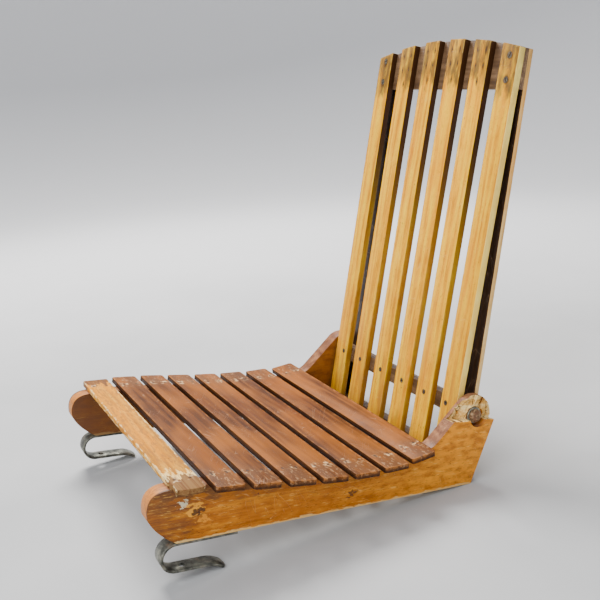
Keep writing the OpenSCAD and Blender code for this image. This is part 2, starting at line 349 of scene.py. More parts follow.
def noiseAt(tree, vector, scale, detail=3.0, rough=0.55):
    # scale may be one number, or one for each direction
    if not isinstance(scale, (int, float)):
        vector = vectorCalc(tree, "MULTIPLY", vector, scale)
        scale = 1.0
    return addNode(tree, "ShaderNodeTexNoise", {"Vector": vector, "Scale": scale, "Detail": detail,
                                                "Roughness": rough}).outputs[0]


def tone(red, green, blue):
    # a colour given as 0 to 255 screen values
    def linear(value):
        value /= 255
        return value / 12.92 if value <= 0.04045 else ((value + 0.055) / 1.055) ** 2.4
    return (linear(red), linear(green), linear(blue), 1.0)


def blendIn(tree, base, colour, mask, kind="MIX"):
    return addNode(tree, "ShaderNodeMix", {0: mask, 6: base, 7: colour}, data_type="RGBA",
                   blend_type=kind).outputs[2]


def rampOf(tree, value, stops):
    node = addNode(tree, "ShaderNodeValToRGB", {0: value})
    band = node.color_ramp
    while len(band.elements) < len(stops):
        band.elements.new(0.5)
    for element, (position, colour) in zip(band.elements, stops):
        element.position = position
        element.color = colour
    return node.outputs["Color"]


def allOf(tree, *masks):
    total = masks[0]
    for mask in masks[1:]:
        total = calc(tree, "MULTIPLY", total, mask)
    return total


def startMaterial(name):
    material = bpy.data.materials.new(name)
    material.use_nodes = True
    tree = material.node_tree
    shader = next(n for n in tree.nodes if n.type == "BSDF_PRINCIPLED")
    return material, tree, shader


def addBump(tree, shader, height, distance, strength=1.0):
    bump = addNode(tree, "ShaderNodeBump", {"Height": height, "Distance": distance, "Strength": strength})
    tree.links.new(bump.outputs["Normal"], shader.inputs["Normal"])


# wood: colours are screen values, scales are for along, across and through the board
boardStep = (3.1, 7.7, 5.3)          # how far the pattern moves from one board to the next
usualWood = {"castScale": (5, 26, 26), "fibreScale": (10, 420, 420), "ringScale": (2.0, 24, 24),
             "blotchScale": (30, 75, 75), "fibreShare": 0.45, "ringShare": 0.16, "blotchShare": 0.4,
             "poreShare": 0.4, "speckShare": 0.7, "scratchShare": 0.5, "boardShade": 0.16,
             "smooth": 0.38, "rough": 0.58, "gloss": 0.4, "relief": 0.00025}
scratchWays = ((0.5, 0.010), (-0.35, 0.008), (1.2, 0.006))          # turn and width of each set


def woodBase(name, look, oneBoard=False):
    # grain, pores, blotches, specks and scratches; returns what the further layers need
    material, tree, shader = startMaterial(name)
    shadeShare = look["boardShade"]
    if oneBoard:
        number = look["board"]
        place = addNode(tree, "ShaderNodeTexCoord").outputs["Object"]
        board = vectorCalc(tree, "ADD", place, tuple(step * number for step in boardStep))
        shade = number * shadeShare + 1 - shadeShare / 2
        shadeTone = (shade, shade, shade, 1)
    else:
        place = addNode(tree, "ShaderNodeAttribute", attribute_name="place").outputs["Vector"]
        number = addNode(tree, "ShaderNodeAttribute", attribute_name="plank").outputs["Fac"]
        board = vectorCalc(tree, "ADD", place, vectorCalc(tree, "SCALE", boardStep, number))
        shade = calc(tree, "ADD", calc(tree, "MULTIPLY", number, shadeShare), 1 - shadeShare / 2)
        shadeTone = addNode(tree, "ShaderNodeCombineColor", {0: shade, 1: shade, 2: shade}).outputs[0]
    cast = noiseAt(tree, board, look["castScale"], 2)
    fibre = noiseAt(tree, board, look["fibreScale"], 5, 0.62)
    rings = addNode(tree, "ShaderNodeTexWave",
                    {"Vector": vectorCalc(tree, "MULTIPLY", board, look["ringScale"]),
                     "Scale": 1.0, "Distortion": 11.0, "Detail": 4.0, "Detail Scale": 1.6},
                    bands_direction="Y").outputs["Fac"]
    blotch = noiseAt(tree, board, look["blotchScale"], 4, 0.6)
    mixture = calc(tree, "ADD", calc(tree, "MULTIPLY", fibre, look["fibreShare"]),
                   calc(tree, "ADD", calc(tree, "MULTIPLY", rings, look["ringShare"]),
                        calc(tree, "MULTIPLY", blotch, look["blotchShare"])))
    colour = rampOf(tree, mixture, [(0.30, tone(*look["dark"])), (0.50, tone(*look["mid"])),
                                    (0.70, tone(*look["light"]))])
    colour = blendIn(tree, colour, tone(*look["cast"]), spanOf(tree, cast, 0.45, 0.75, 0, 0.55))
    colour = blendIn(tree, colour, shadeTone, 1.0, "MULTIPLY")
    pores = spanOf(tree, noiseAt(tree, board, (120, 1500, 1500), 2), 0.60, 0.70)
    colour = blendIn(tree, colour, tone(*look["pore"]), calc(tree, "MULTIPLY", pores, look["poreShare"]))
    specks = allOf(tree, spanOf(tree, noiseAt(tree, board, (260, 420, 420), 2), 0.66, 0.73),
                   spanOf(tree, noiseAt(tree, board, 42, 2), 0.42, 0.6))
    colour = blendIn(tree, colour, tone(*look["speck"]), calc(tree, "MULTIPLY", specks, look["speckShare"]))
    scratches = None
    for turn, wide in scratchWays:
        turned = addNode(tree, "ShaderNodeVectorRotate", {"Vector": board, "Angle": turn},
                         rotation_type="Z_AXIS").outputs[0]
        ripple = noiseAt(tree, turned, (14, 130, 130), 1)
        near = calc(tree, "ABSOLUTE", calc(tree, "SUBTRACT", ripple, 0.5))
        here = spanOf(tree, noiseAt(tree, turned, 33, 1), 0.56, 0.66)
        line = allOf(tree, spanOf(tree, near, wide, 0, 0, 1), here)
        scratches = line if scratches is None else calc(tree, "MAXIMUM", scratches, line)
    colour = blendIn(tree, colour, tone(*look["scratch"]),
                     calc(tree, "MULTIPLY", scratches, look["scratchShare"]))
    height = calc(tree, "SUBTRACT", calc(tree, "MULTIPLY", fibre, 0.6),
                  calc(tree, "ADD", calc(tree, "MULTIPLY", pores, 0.5),
                       calc(tree, "MULTIPLY", scratches, 0.5)))
    return {"material": material, "tree": tree, "shader": shader, "place": place, "board": board,
            "colour": colour, "fibre": fibre, "blotch": blotch, "height": height, "bare": None}


def woodFinish(wood, look):
    # joins the layers to the shader; bare wood is duller than varnish
    tree, shader = wood["tree"], wood["shader"]
    feed(tree, shader.inputs["Base Color"], wood["colour"])
    rough = spanOf(tree, calc(tree, "ADD", calc(tree, "MULTIPLY", wood["blotch"], 0.6),
                              calc(tree, "MULTIPLY", wood["fibre"], 0.4)),
                   0.3, 0.7, look["smooth"], look["rough"])
    if wood["bare"] is not None:
        rough = calc(tree, "ADD", rough, calc(tree, "MULTIPLY", wood["bare"], 0.25), clamp=True)
    feed(tree, shader.inputs["Roughness"], rough)
    shader.inputs["Specular IOR Level"].default_value = look["gloss"]
    addBump(tree, shader, wood["height"], look["relief"], 0.7)
    return wood["material"]


def grainAt(wood, scale, detail=3.0, rough=0.55):
    return noiseAt(wood["tree"], wood["board"], scale, detail, rough)


def partsOf(wood):
    node = addNode(wood["tree"], "ShaderNodeSeparateXYZ", {0: wood["place"]})
    return node.outputs[0], node.outputs[1], node.outputs[2]


def layerOn(wood, colour, mask, share=1.0):
    if share < 1:
        mask = calc(wood["tree"], "MULTIPLY", mask, share)
    wood["colour"] = blendIn(wood["tree"], wood["colour"], tone(*colour), mask)


def bareOn(wood, mask):
    wood["bare"] = mask if wood["bare"] is None else calc(wood["tree"], "MAXIMUM", wood["bare"], mask)


def edgeMask(wood, sizes, reach):
    # 1 along the long and short edges of a slat, broken up by noise
    tree = wood["tree"]
    halfLength, halfWidth, thick = sizes
    along, across, through = partsOf(wood)
    dx = calc(tree, "SUBTRACT", halfLength, calc(tree, "ABSOLUTE", along))
    dy = calc(tree, "SUBTRACT", halfWidth, calc(tree, "ABSOLUTE", across))
    dz = calc(tree, "MINIMUM", calc(tree, "ABSOLUTE", through),
              calc(tree, "ABSOLUTE", calc(tree, "SUBTRACT", thick, through)))
    second = calc(tree, "MAXIMUM", calc(tree, "MINIMUM", dx, dy),
                  calc(tree, "MINIMUM", calc(tree, "MAXIMUM", dx, dy), dz))
    ragged = calc(tree, "ADD", second, spanOf(tree, grainAt(wood, (90, 200, 200), 3),
                                              0.35, 0.65, 0.0022, -0.0012))
    return spanOf(tree, ragged, reach, reach * 0.3)


def spotMask(wood, at, reach, mirrored=""):
    # how far out of an oval round one place on the board: 1 at its rim
    tree = wood["tree"]
    along, across = partsOf(wood)[:2]
    if mirrored == "both":
        along = calc(tree, "ABSOLUTE", along)
    if mirrored:
        across = calc(tree, "ABSOLUTE", across)
    da = calc(tree, "DIVIDE", calc(tree, "SUBTRACT", along, at[0]), reach[0])
    db = calc(tree, "DIVIDE", calc(tree, "SUBTRACT", across, at[1]), reach[1])
    squares = calc(tree, "ADD", calc(tree, "MULTIPLY", da, da), calc(tree, "MULTIPLY", db, db))
    return calc(tree, "SQRT", squares)


# half length, half width and thickness from which the wear along a slat's edges is measured
seatEdges = (0.193, seat["width"] / 2, seat["thick"])
backEdges = ((back["height"] + back["foot"]) / 2, back["slatWidth"] / 2, back["thick"])
seatNailAt = (0.1575, 0.0083)


def nailMarks(wood, reach, halo, darkMark):
    # a dark spot round each nail and, further out, varnish worn off to bare wood
    tree = wood["tree"]
    far = spotMask(wood, seatNailAt, reach, "both")
    ragged = calc(tree, "ADD", far, spanOf(tree, grainAt(wood, 210, 3), 0.35, 0.65, 0.9, -0.5))
    ring = allOf(tree, spanOf(tree, ragged, 1.0, 0.55), spanOf(tree, grainAt(wood, 60, 2), 0.42, 0.60))
    layerOn(wood, halo, ring)
    bareOn(wood, ring)
    layerOn(wood, darkMark, spanOf(tree, far, 0.42, 0.22, 0, 0.85))


seatLook = dict(usualWood, dark=(52, 26, 9), mid=(92, 50, 18), light=(126, 74, 30), cast=(122, 62, 8),
                pore=(70, 40, 28), speck=(58, 36, 26), scratch=(206, 168, 136), poreShare=0.35,
                scratchShare=0.35, speckShare=0.5, smooth=0.42, gloss=0.1)


def makeSeatWood():
    wood = woodBase("seatWood", seatLook)
    tree = wood["tree"]
    along, across, through = partsOf(wood)
    reach = calc(tree, "ABSOLUTE", along)
    layerOn(wood, (166, 96, 28), spanOf(tree, grainAt(wood, (7, 20, 20), 2), 0.40, 0.66, 0, 0.55))
    # the ends over the rails are greyer and scuffed
    grime = allOf(tree, spanOf(tree, reach, 0.128, 0.170), spanOf(tree, wood["blotch"], 0.36, 0.60))
    layerOn(wood, (96, 62, 38), grime, 0.75)
    scuff = allOf(tree, spanOf(tree, reach, 0.140, 0.172),
                  spanOf(tree, grainAt(wood, (150, 320, 320), 3), 0.56, 0.64))
    layerOn(wood, (190, 146, 104), scuff, 0.4)
    nailMarks(wood, (0.0072, 0.0052), (198, 160, 116), (44, 30, 24))
    worn = edgeMask(wood, seatEdges, 0.0022)
    layerOn(wood, (176, 112, 56), worn, 0.5)
    bareOn(wood, worn)
    # painted shade: dark sides between the slats and a darker lower half
    side = spanOf(tree, calc(tree, "ABSOLUTE", across), 0.0153, 0.0158)
    layerOn(wood, (48, 26, 14), side, 0.8)
    layerOn(wood, (44, 26, 16), spanOf(tree, through, 0.0042, 0.0012, 0, 0.8))
    return woodFinish(wood, seatLook)


backLook = dict(usualWood, dark=(190, 112, 0), mid=(242, 170, 0), light=(255, 206, 14), cast=(232, 144, 0),
                pore=(140, 82, 24), speck=(84, 48, 16), scratch=(255, 216, 120), poreShare=0.5,
                scratchShare=0.3, rough=0.56, gloss=0.12, boardShade=0.14)
frontLook = dict(backLook, dark=(132, 76, 16), mid=(188, 126, 36), light=(218, 160, 62), speckShare=0.9,
                 smooth=0.42, rough=0.6, gloss=0.1)


def makeFrontWood():
    # the first slat has lost its varnish between the rails
    wood = woodBase("frontWood", frontLook)
    tree = wood["tree"]
    along, through = partsOf(wood)[::2]
    rough = spanOf(tree, grainAt(wood, (40, 160, 160), 4, 0.65), 0.3, 0.7, -0.013, 0.013)
    place = calc(tree, "ADD", along, rough)
    layerOn(wood, (160, 106, 50), spanOf(tree, grainAt(wood, (90, 330, 330), 4), 0.48, 0.62), 0.7)
    pale = allOf(tree, spanOf(tree, place, 0.136, 0.142), spanOf(tree, wood["fibre"], 0.3, 0.5, 0.4, 0.9))
    layerOn(wood, (244, 206, 132), pale)
    ends = calc(tree, "MAXIMUM", spanOf(tree, place, 0.149, 0.153), spanOf(tree, place, -0.160, -0.166))
    layerOn(wood, (108, 68, 38), allOf(tree, ends, spanOf(tree, wood["fibre"], 0.3, 0.6, 1.0, 0.86)))
    nailMarks(wood, (0.0065, 0.0050), (198, 168, 130), (44, 30, 24))
    layerOn(wood, (250, 226, 166), edgeMask(wood, seatEdges, 0.0018), 0.55)
    bareOn(wood, spanOf(tree, place, -0.16, -0.15))
    # painted shade: darker towards the underside
    layerOn(wood, (80, 54, 34), spanOf(tree, through, 0.0012, 0.0001, 0, 0.8))
    return woodFinish(wood, frontLook)


# iron stains: nails on the middle slats, two large screws on the outer ones
ironStains = [{"down": 0.012, "side": 0.008, "size": (0.0060, 0.0022), "outer": False},
              {"down": 0.030, "side": 0.007, "size": (0.0060, 0.0022), "outer": False},
              {"down": 0.049, "side": 0.0, "size": (0.0070, 0.0024), "outer": False},
              {"down": 0.0125, "side": 0.0, "size": (0.0070, 0.0066), "outer": True},
              {"down": 0.0405, "side": 0.0, "size": (0.0070, 0.0066), "outer": True}]


def makeBackWood():
    wood = woodBase("backWood", backLook)
    tree = wood["tree"]
    along, across, through = partsOf(wood)
    # hands have darkened the tops down to the lower edge of the top rail
    ragged = calc(tree, "ADD", along, spanOf(tree, wood["blotch"], 0.3, 0.7, -0.012, 0.012))
    top = allOf(tree, spanOf(tree, ragged, 0.196, 0.216),
                spanOf(tree, grainAt(wood, (26, 90, 90), 4, 0.65), 0.30, 0.62, 0.35, 1))
    layerOn(wood, (104, 78, 40), top, 0.92)
    dirt = allOf(tree, spanOf(tree, ragged, 0.190, 0.235),
                 spanOf(tree, grainAt(wood, (60, 200, 200), 4), 0.52, 0.66))
    layerOn(wood, (84, 60, 36), dirt, 0.6)
    flecks = allOf(tree, spanOf(tree, grainAt(wood, (150, 520, 520), 3, 0.6), 0.58, 0.68),
                   spanOf(tree, wood["blotch"], 0.40, 0.60))
    layerOn(wood, (172, 104, 26), flecks, 0.45)
    objectPlace = addNode(tree, "ShaderNodeTexCoord").outputs["Object"]
    sideways = addNode(tree, "ShaderNodeSeparateXYZ", {0: objectPlace}).outputs[0]
    outer = spanOf(tree, calc(tree, "ABSOLUTE", sideways), 0.112, 0.114)
    middle = calc(tree, "SUBTRACT", 1.0, outer)
    for iron in ironStains:
        far = spotMask(wood, (backEdges[0] - iron["down"], iron["side"]), iron["size"], "across")
        far = calc(tree, "ADD", far, spanOf(tree, wood["fibre"], 0.3, 0.7, 0.35, -0.25))
        darkMark = spanOf(tree, far, 1.0, 0.4, 0, 0.8)
        layerOn(wood, (72, 46, 28), allOf(tree, darkMark, outer if iron["outer"] else middle))
    foot = allOf(tree, spanOf(tree, along, -0.06, -0.20),
                 spanOf(tree, grainAt(wood, (14, 60, 60), 4), 0.42, 0.66))
    layerOn(wood, (176, 118, 54), foot, 0.55)
    layerOn(wood, (250, 206, 110), edgeMask(wood, backEdges, 0.0016), 0.2)
    # painted shade on the sides between the slats, stronger towards the top, and on the back faces; the outer
    # side of the last one is rubbed bright
    halfBack = back["width"] / 2
    rubbed = spanOf(tree, sideways, halfBack - 0.0009, halfBack - 0.0004)
    side = allOf(tree, spanOf(tree, calc(tree, "ABSOLUTE", across), 0.0144, 0.0149),
                 spanOf(tree, along, -0.10, 0.16, 0.45, 1.0))
    shade = calc(tree, "MAXIMUM", side, spanOf(tree, through, 0.0074, 0.0060, 0, 0.55))
    layerOn(wood, (62, 36, 16), allOf(tree, shade, calc(tree, "SUBTRACT", 1.0, rubbed)))
    layerOn(wood, (255, 226, 122), allOf(tree, rubbed, spanOf(tree, wood["blotch"], 0.3, 0.6, 1, 0.6)))
    return woodFinish(wood, backLook)


stileLook = dict(backLook, dark=(184, 130, 66), mid=(222, 176, 104), light=(244, 212, 150))


def makeStileWood():
    wood = woodBase("stileWood", stileLook)
    tree = wood["tree"]
    along = partsOf(wood)[0]
    dirt = allOf(tree, spanOf(tree, along, 0.19, 0.25), spanOf(tree, wood["blotch"], 0.4, 0.62))
    layerOn(wood, (120, 90, 56), dirt, 0.7)
    return woodFinish(wood, stileLook)


railLook = dict(usualWood, dark=(132, 66, 0), mid=(184, 104, 0), light=(220, 140, 8), cast=(172, 92, 0),
                pore=(104, 58, 16), speck=(66, 36, 12), scratch=(240, 190, 110), poreShare=0.75,
                speckShare=0.9, ringShare=0.08, blotchScale=(60, 120, 120), blotchShare=0.5,
                smooth=0.36, rough=0.56, gloss=0.25)
# chips and stains on the outer side of the left rail
railMarks = [{"at": (-0.367, 0.0415), "size": (0.0062, 0.0042), "tint": (214, 204, 168), "share": 0.85},
             {"at": (-0.354, 0.034), "size": (0.0085, 0.0060), "tint": (232, 156, 40), "share": 0.95},
             {"at": (-0.344, 0.022), "size": (0.0070, 0.0050), "tint": (222, 142, 34), "share": 0.85},
             {"at": (-0.349, 0.0305), "size": (0.0058, 0.0036), "tint": (56, 32, 18), "share": 0.9},
             {"at": (-0.1676, 0.0165), "size": (0.0070, 0.0040), "tint": (66, 40, 22), "share": 0.8}]


def makeRailWood():
    wood = woodBase("railWood", railLook)
    tree = wood["tree"]
    along, up, through = partsOf(wood)
    grain = wood["blotch"]
    wave = calc(tree, "ADD", along, spanOf(tree, grainAt(wood, (40, 90, 40), 4, 0.65),
                                           0.3, 0.7, -0.024, 0.024))
    # painted shade: the nose darker than the rest of the rail
    nose = spanOf(tree, wave, -0.322, -0.392)
    layerOn(wood, (96, 56, 28), allOf(tree, nose, spanOf(tree, wood["fibre"], 0.35, 0.6, 0.88, 0.6)))
    # a darker band along the top of the rail, just under the slats, towards the front
    under = calc(tree, "SUBTRACT", up, spanOf(tree, along, -0.34, -0.16, 0.050, 0.040))
    under = calc(tree, "ADD", under, spanOf(tree, grain, 0.3, 0.7, -0.012, 0.012))
    darkMark = allOf(tree, spanOf(tree, under, -0.012, 0.006), spanOf(tree, along, -0.06, -0.14),
                  spanOf(tree, along, -0.23, -0.30, 0.5, 1))
    layerOn(wood, (88, 56, 34), darkMark, 0.8)
    # painted light: brighter towards the ear; also rubbed streaks along the grain and a pale lower edge
    bright = allOf(tree, spanOf(tree, along, -0.20, -0.02), spanOf(tree, grain, 0.36, 0.60, 0.15, 0.7))
    layerOn(wood, (246, 158, 14), bright)
    streaks = allOf(tree, spanOf(tree, grainAt(wood, (70, 520, 520), 3, 0.6), 0.56, 0.66),
                    spanOf(tree, grain, 0.40, 0.60))
    layerOn(wood, (244, 184, 84), streaks, 0.5)
    pits = spanOf(tree, grainAt(wood, (190, 560, 560), 3, 0.6), 0.60, 0.68)
    layerOn(wood, (92, 48, 14), pits, 0.55)
    bottom = calc(tree, "ADD", up, spanOf(tree, grain, 0.3, 0.7, -0.0014, 0.0014))
    layerOn(wood, (238, 196, 120), spanOf(tree, bottom, 0.0026, 0.0014), 0.8)
    near = spanOf(tree, through, 0.155, 0.165)
    flake = spanOf(tree, grainAt(wood, (95, 150, 150), 4, 0.62), 0.36, 0.64, 0.75, -0.55)
    for spot in railMarks:
        far = calc(tree, "ADD", spotMask(wood, spot["at"], spot["size"]), flake)
        layerOn(wood, spot["tint"], allOf(tree, spanOf(tree, far, 1.0, 0.86), near), spot["share"])
    # painted shade on the inner faces of the rails
    inner = spanOf(tree, calc(tree, "ABSOLUTE", through), railInner + 0.0015, railInner + 0.0004)
    layerOn(wood, (92, 56, 32), inner, 0.75)
    return woodFinish(wood, railLook)


rimLook = dict(usualWood, dark=(86, 48, 28), mid=(128, 80, 50), light=(168, 116, 76), cast=(116, 68, 38),
               pore=(70, 42, 28), speck=(54, 32, 22), scratch=(200, 160, 120), gloss=0.2)


def makeRimWood():
    # the sawn edges of the rails: browner on top, rubbed bare below
    wood = woodBase("rimWood", rimLook)
    tree = wood["tree"]
    along, up, through = partsOf(wood)
    ragged = calc(tree, "ADD", up, spanOf(tree, wood["blotch"], 0.3, 0.7, -0.004, 0.004))
    nose = allOf(tree, spanOf(tree, along, -0.375, -0.392, 0, 0.9),
                 spanOf(tree, wood["fibre"], 0.35, 0.6, 0.5, 1))
    layerOn(wood, (206, 128, 52), nose)
    layerOn(wood, (222, 196, 150), spanOf(tree, ragged, 0.009, 0.001), 0.85)
    layerOn(wood, (190, 116, 40), spanOf(tree, along, 0.004, 0.014, 0, 0.8))
    # a dark line where the rounded nose meets the side
    line = allOf(tree, spanOf(tree, calc(tree, "ABSOLUTE", through), railOuter - 0.0026, railOuter - 0.0016),
                 spanOf(tree, along, -0.33, -0.36))
    layerOn(wood, (56, 32, 18), line, 0.85)
    return woodFinish(wood, rimLook)


rawLook = dict(usualWood, dark=(132, 76, 26), mid=(222, 170, 84), light=(250, 220, 150), cast=(190, 122, 48),
               pore=(120, 84, 54), speck=(100, 66, 42), scratch=(250, 236, 200), fibreShare=0.6,
               smooth=0.7, rough=0.9, gloss=0.2, relief=0.0006)


def makeRawWood():
    # torn wood: strips and cracks run up towards the front
    wood = woodBase("rawWood", rawLook)
    tree = wood["tree"]
    turned = addNode(tree, "ShaderNodeVectorRotate",
                     {"Vector": wood["board"], "Angle": math.radians(-rail["tear"])},
                     rotation_type="Z_AXIS").outputs[0]
    strips = noiseAt(tree, turned, (12, 210, 14), 3, 0.55)
    layerOn(wood, (186, 112, 40), spanOf(tree, strips, 0.42, 0.30, 0, 0.85))
    layerOn(wood, (252, 226, 156), spanOf(tree, strips, 0.56, 0.66, 0, 0.8))
    cracks = noiseAt(tree, turned, (8, 130, 10), 2)
    cracks = calc(tree, "ABSOLUTE", calc(tree, "SUBTRACT", cracks, 0.48))
    layerOn(wood, (58, 30, 14), spanOf(tree, cracks, 0.028, 0.012, 0, 0.9))
    return woodFinish(wood, rawLook)


barLook = dict(usualWood, dark=(66, 46, 30), mid=(108, 80, 54), light=(146, 114, 82), cast=(92, 64, 40),
               pore=(48, 34, 24), speck=(40, 28, 20), scratch=(180, 150, 120), board=0.4)
shadeLook = dict(barLook, dark=(30, 18, 10), mid=(46, 28, 16), light=(70, 44, 24), cast=(38, 22, 12))

seatWood, frontWood, backWood, stileWood = makeSeatWood(), makeFrontWood(), makeBackWood(), makeStileWood()
railWood, rimWood, rawWood = makeRailWood(), makeRimWood(), makeRawWood()
barWood = woodFinish(woodBase("barWood", barLook, oneBoard=True), barLook)
shadeWood = woodFinish(woodBase("shadeWood", shadeLook), shadeLook)
print("woods made")


# metal
strapLook = {"dark": (58, 58, 53), "mid": (98, 98, 90), "light": (148, 146, 132), "rust": (104, 84, 62),
             "grain": 110, "rustFrom": 0.55, "rustShare": 0.55, "metal": 0.75, "smooth": 0.36,
             "rough": 0.55, "relief": 0.0002}
screwLook = {"dark": (54, 48, 40), "mid": (92, 84, 70), "light": (140, 130, 110), "rust": (84, 56, 36),
             "grain": 420, "rustFrom": 0.48, "rustShare": 0.7, "metal": 0.7, "smooth": 0.40,
             "rough": 0.6, "relief": 0.00012}
washerLook = dict(screwLook, dark=(110, 108, 92), mid=(150, 150, 132), light=(196, 196, 178), rustShare=0.4)
boltLook = {"dark": (78, 56, 38), "mid": (134, 102, 70), "light": (182, 150, 112), "rust": (116, 66, 36),
            "grain": 300, "rustFrom": 0.46, "rustShare": 0.6, "metal": 0.35, "smooth": 0.55,
            "rough": 0.85, "relief": 0.0005}
nailLook = {"dark": (34, 24, 20), "mid": (58, 42, 32), "light": (96, 72, 52), "rust": (82, 48, 28),
            "grain": 600, "rustFrom": 0.46, "rustShare": 0.6, "metal": 0.4, "smooth": 0.5,
            "rough": 0.8, "relief": 0.00015}
# near-black for screw slots and cracks: dirt and painted shade
dirtAndShadeLook = dict(nailLook, dark=(14, 12, 10), mid=(22, 18, 15), light=(34, 28, 22))


def makeMetal(name, look):
    # dull metal: a base tone with lighter rubbed places and rust
    material, tree, shader = startMaterial(name)
    place = addNode(tree, "ShaderNodeTexCoord").outputs["Object"]
    cloud = noiseAt(tree, place, look["grain"], 4, 0.6)
    fine = noiseAt(tree, place, look["grain"] * 6, 3, 0.6)
    rust = spanOf(tree, noiseAt(tree, place, look["grain"] * 0.55, 4, 0.65),
                  look["rustFrom"], look["rustFrom"] + 0.12)
    colour = rampOf(tree, cloud, [(0.32, tone(*look["dark"])), (0.50, tone(*look["mid"])),
                                  (0.68, tone(*look["light"]))])
    colour = blendIn(tree, colour, tone(*look["rust"]), calc(tree, "MULTIPLY", rust, look["rustShare"]))
    feed(tree, shader.inputs["Base Color"], colour)
    feed(tree, shader.inputs["Metallic"], spanOf(tree, rust, 0, 1, look["metal"], look["metal"] * 0.2))
    feed(tree, shader.inputs["Roughness"], spanOf(tree, fine, 0.3, 0.7, look["smooth"], look["rough"]))
    height = calc(tree, "ADD", calc(tree, "MULTIPLY", cloud, 0.6), calc(tree, "MULTIPLY", fine, 0.4))
    addBump(tree, shader, height, look["relief"], 0.8)
    return material


strapSteel, screwSteel = makeMetal("strapSteel", strapLook), makeMetal("screwSteel", screwLook)
washerSteel, boltIron = makeMetal("washerSteel", washerLook), makeMetal("boltIron", boltLook)
nailIron, slotDirtAndShade = makeMetal("nailIron", nailLook), makeMetal("slotDirtAndShade", dirtAndShadeLook)
print("metals made")


# geometry trees
def startTree(name, inputs):
    # an input given as None is a material
    tree = bpy.data.node_groups.new(name, "GeometryNodeTree")
    tree.is_modifier = True
    tree.interface.new_socket("Geometry", in_out="INPUT", socket_type="NodeSocketGeometry")
    for label, value in inputs.items():
        if value is None:
            tree.interface.new_socket(label, in_out="INPUT", socket_type="NodeSocketMaterial")
        else:
            socket = tree.interface.new_socket(label, in_out="INPUT", socket_type="NodeSocketFloat")
            socket.default_value = value
    tree.interface.new_socket("Geometry", in_out="OUTPUT", socket_type="NodeSocketGeometry")
    return tree, addNode(tree, "NodeGroupInput").outputs, addNode(tree, "NodeGroupOutput")


def stored(tree, name, kind="FLOAT"):
    node = addNode(tree, "GeometryNodeInputNamedAttribute", {"Name": name}, data_type=kind)
    return node.outputs["Attribute"]


def store(tree, geometry, name, value, kind="FLOAT", domain="POINT"):
    wires = {"Geometry": geometry, "Name": name, "Value": value}
    node = addNode(tree, "GeometryNodeStoreNamedAttribute", wires, data_type=kind, domain=domain)
    return node.outputs["Geometry"]


def position(tree):
    return addNode(tree, "GeometryNodeInputPosition").outputs[0]


def vectorOf(tree, x=None, y=None, z=None):
    return addNode(tree, "ShaderNodeCombineXYZ", {0: x, 1: y, 2: z}).outputs[0]


def movedBy(tree, geometry, offset):
    return addNode(tree, "GeometryNodeTransform", {"Geometry": geometry, "Translation": offset}).outputs[0]


def painted(tree, geometry, material):
    return addNode(tree, "GeometryNodeSetMaterial", {"Geometry": geometry, "Material": material}).outputs[0]


def placed(tree, points, piece):
    # one copy of the piece on every station, realized
    wires = {"Points": points, "Instance": piece, "Rotation": stored(tree, "turn", "FLOAT_VECTOR"),
             "Scale": stored(tree, "stretch", "FLOAT_VECTOR")}
    copies = addNode(tree, "GeometryNodeInstanceOnPoints", wires).outputs["Instances"]
    return addNode(tree, "GeometryNodeRealizeInstances", {"Geometry": copies}).outputs["Geometry"]


def joined(tree, *pieces):
    node = addNode(tree, "GeometryNodeJoinGeometry")
    for piece in reversed(pieces):
        tree.links.new(piece, node.inputs[0])
    return node.outputs[0]


def slatBoard(tree, given):
    # one flat board with rounded corners, its own place stored on it
    inset = [calc(tree, "SUBTRACT", calc(tree, "MULTIPLY", given[side], 0.5), given["Corner"])
             for side in ("Length", "Width")]
    half = vectorOf(tree, *inset)
    edge = addNode(tree, "GeometryNodeCurvePrimitiveQuadrilateral",
                   {"Width": given["Length"], "Height": given["Width"]}).outputs[0]
    edge = addNode(tree, "GeometryNodeResampleCurve", {"Curve": edge, "Length": 0.0022},
                   mode="LENGTH").outputs[0]
    spot = position(tree)
    inner = vectorCalc(tree, "MAXIMUM", spot, vectorCalc(tree, "SCALE", half, -1.0))
    inner = vectorCalc(tree, "MINIMUM", inner, half)
    away = vectorCalc(tree, "NORMALIZE", vectorCalc(tree, "SUBTRACT", spot, inner))
    rounded = vectorCalc(tree, "ADD", inner, vectorCalc(tree, "SCALE", away, given["Corner"]))
    edge = addNode(tree, "GeometryNodeSetPosition", {"Geometry": edge, "Position": rounded}).outputs[0]
    flat = addNode(tree, "GeometryNodeFillCurve", {"Curve": edge}, mode="NGONS").outputs[0]
    raised = addNode(tree, "GeometryNodeExtrudeMesh",
                     {"Mesh": flat, "Offset": (0, 0, 1), "Offset Scale": given["Thickness"],
                      "Individual": False}).outputs[0]
    under = addNode(tree, "GeometryNodeFlipFaces", {"Mesh": flat}).outputs[0]
    board = addNode(tree, "GeometryNodeMergeByDistance",
                    {"Geometry": joined(tree, under, raised), "Distance": 0.00001}).outputs[0]
    return store(tree, board, "place", position(tree), "FLOAT_VECTOR")


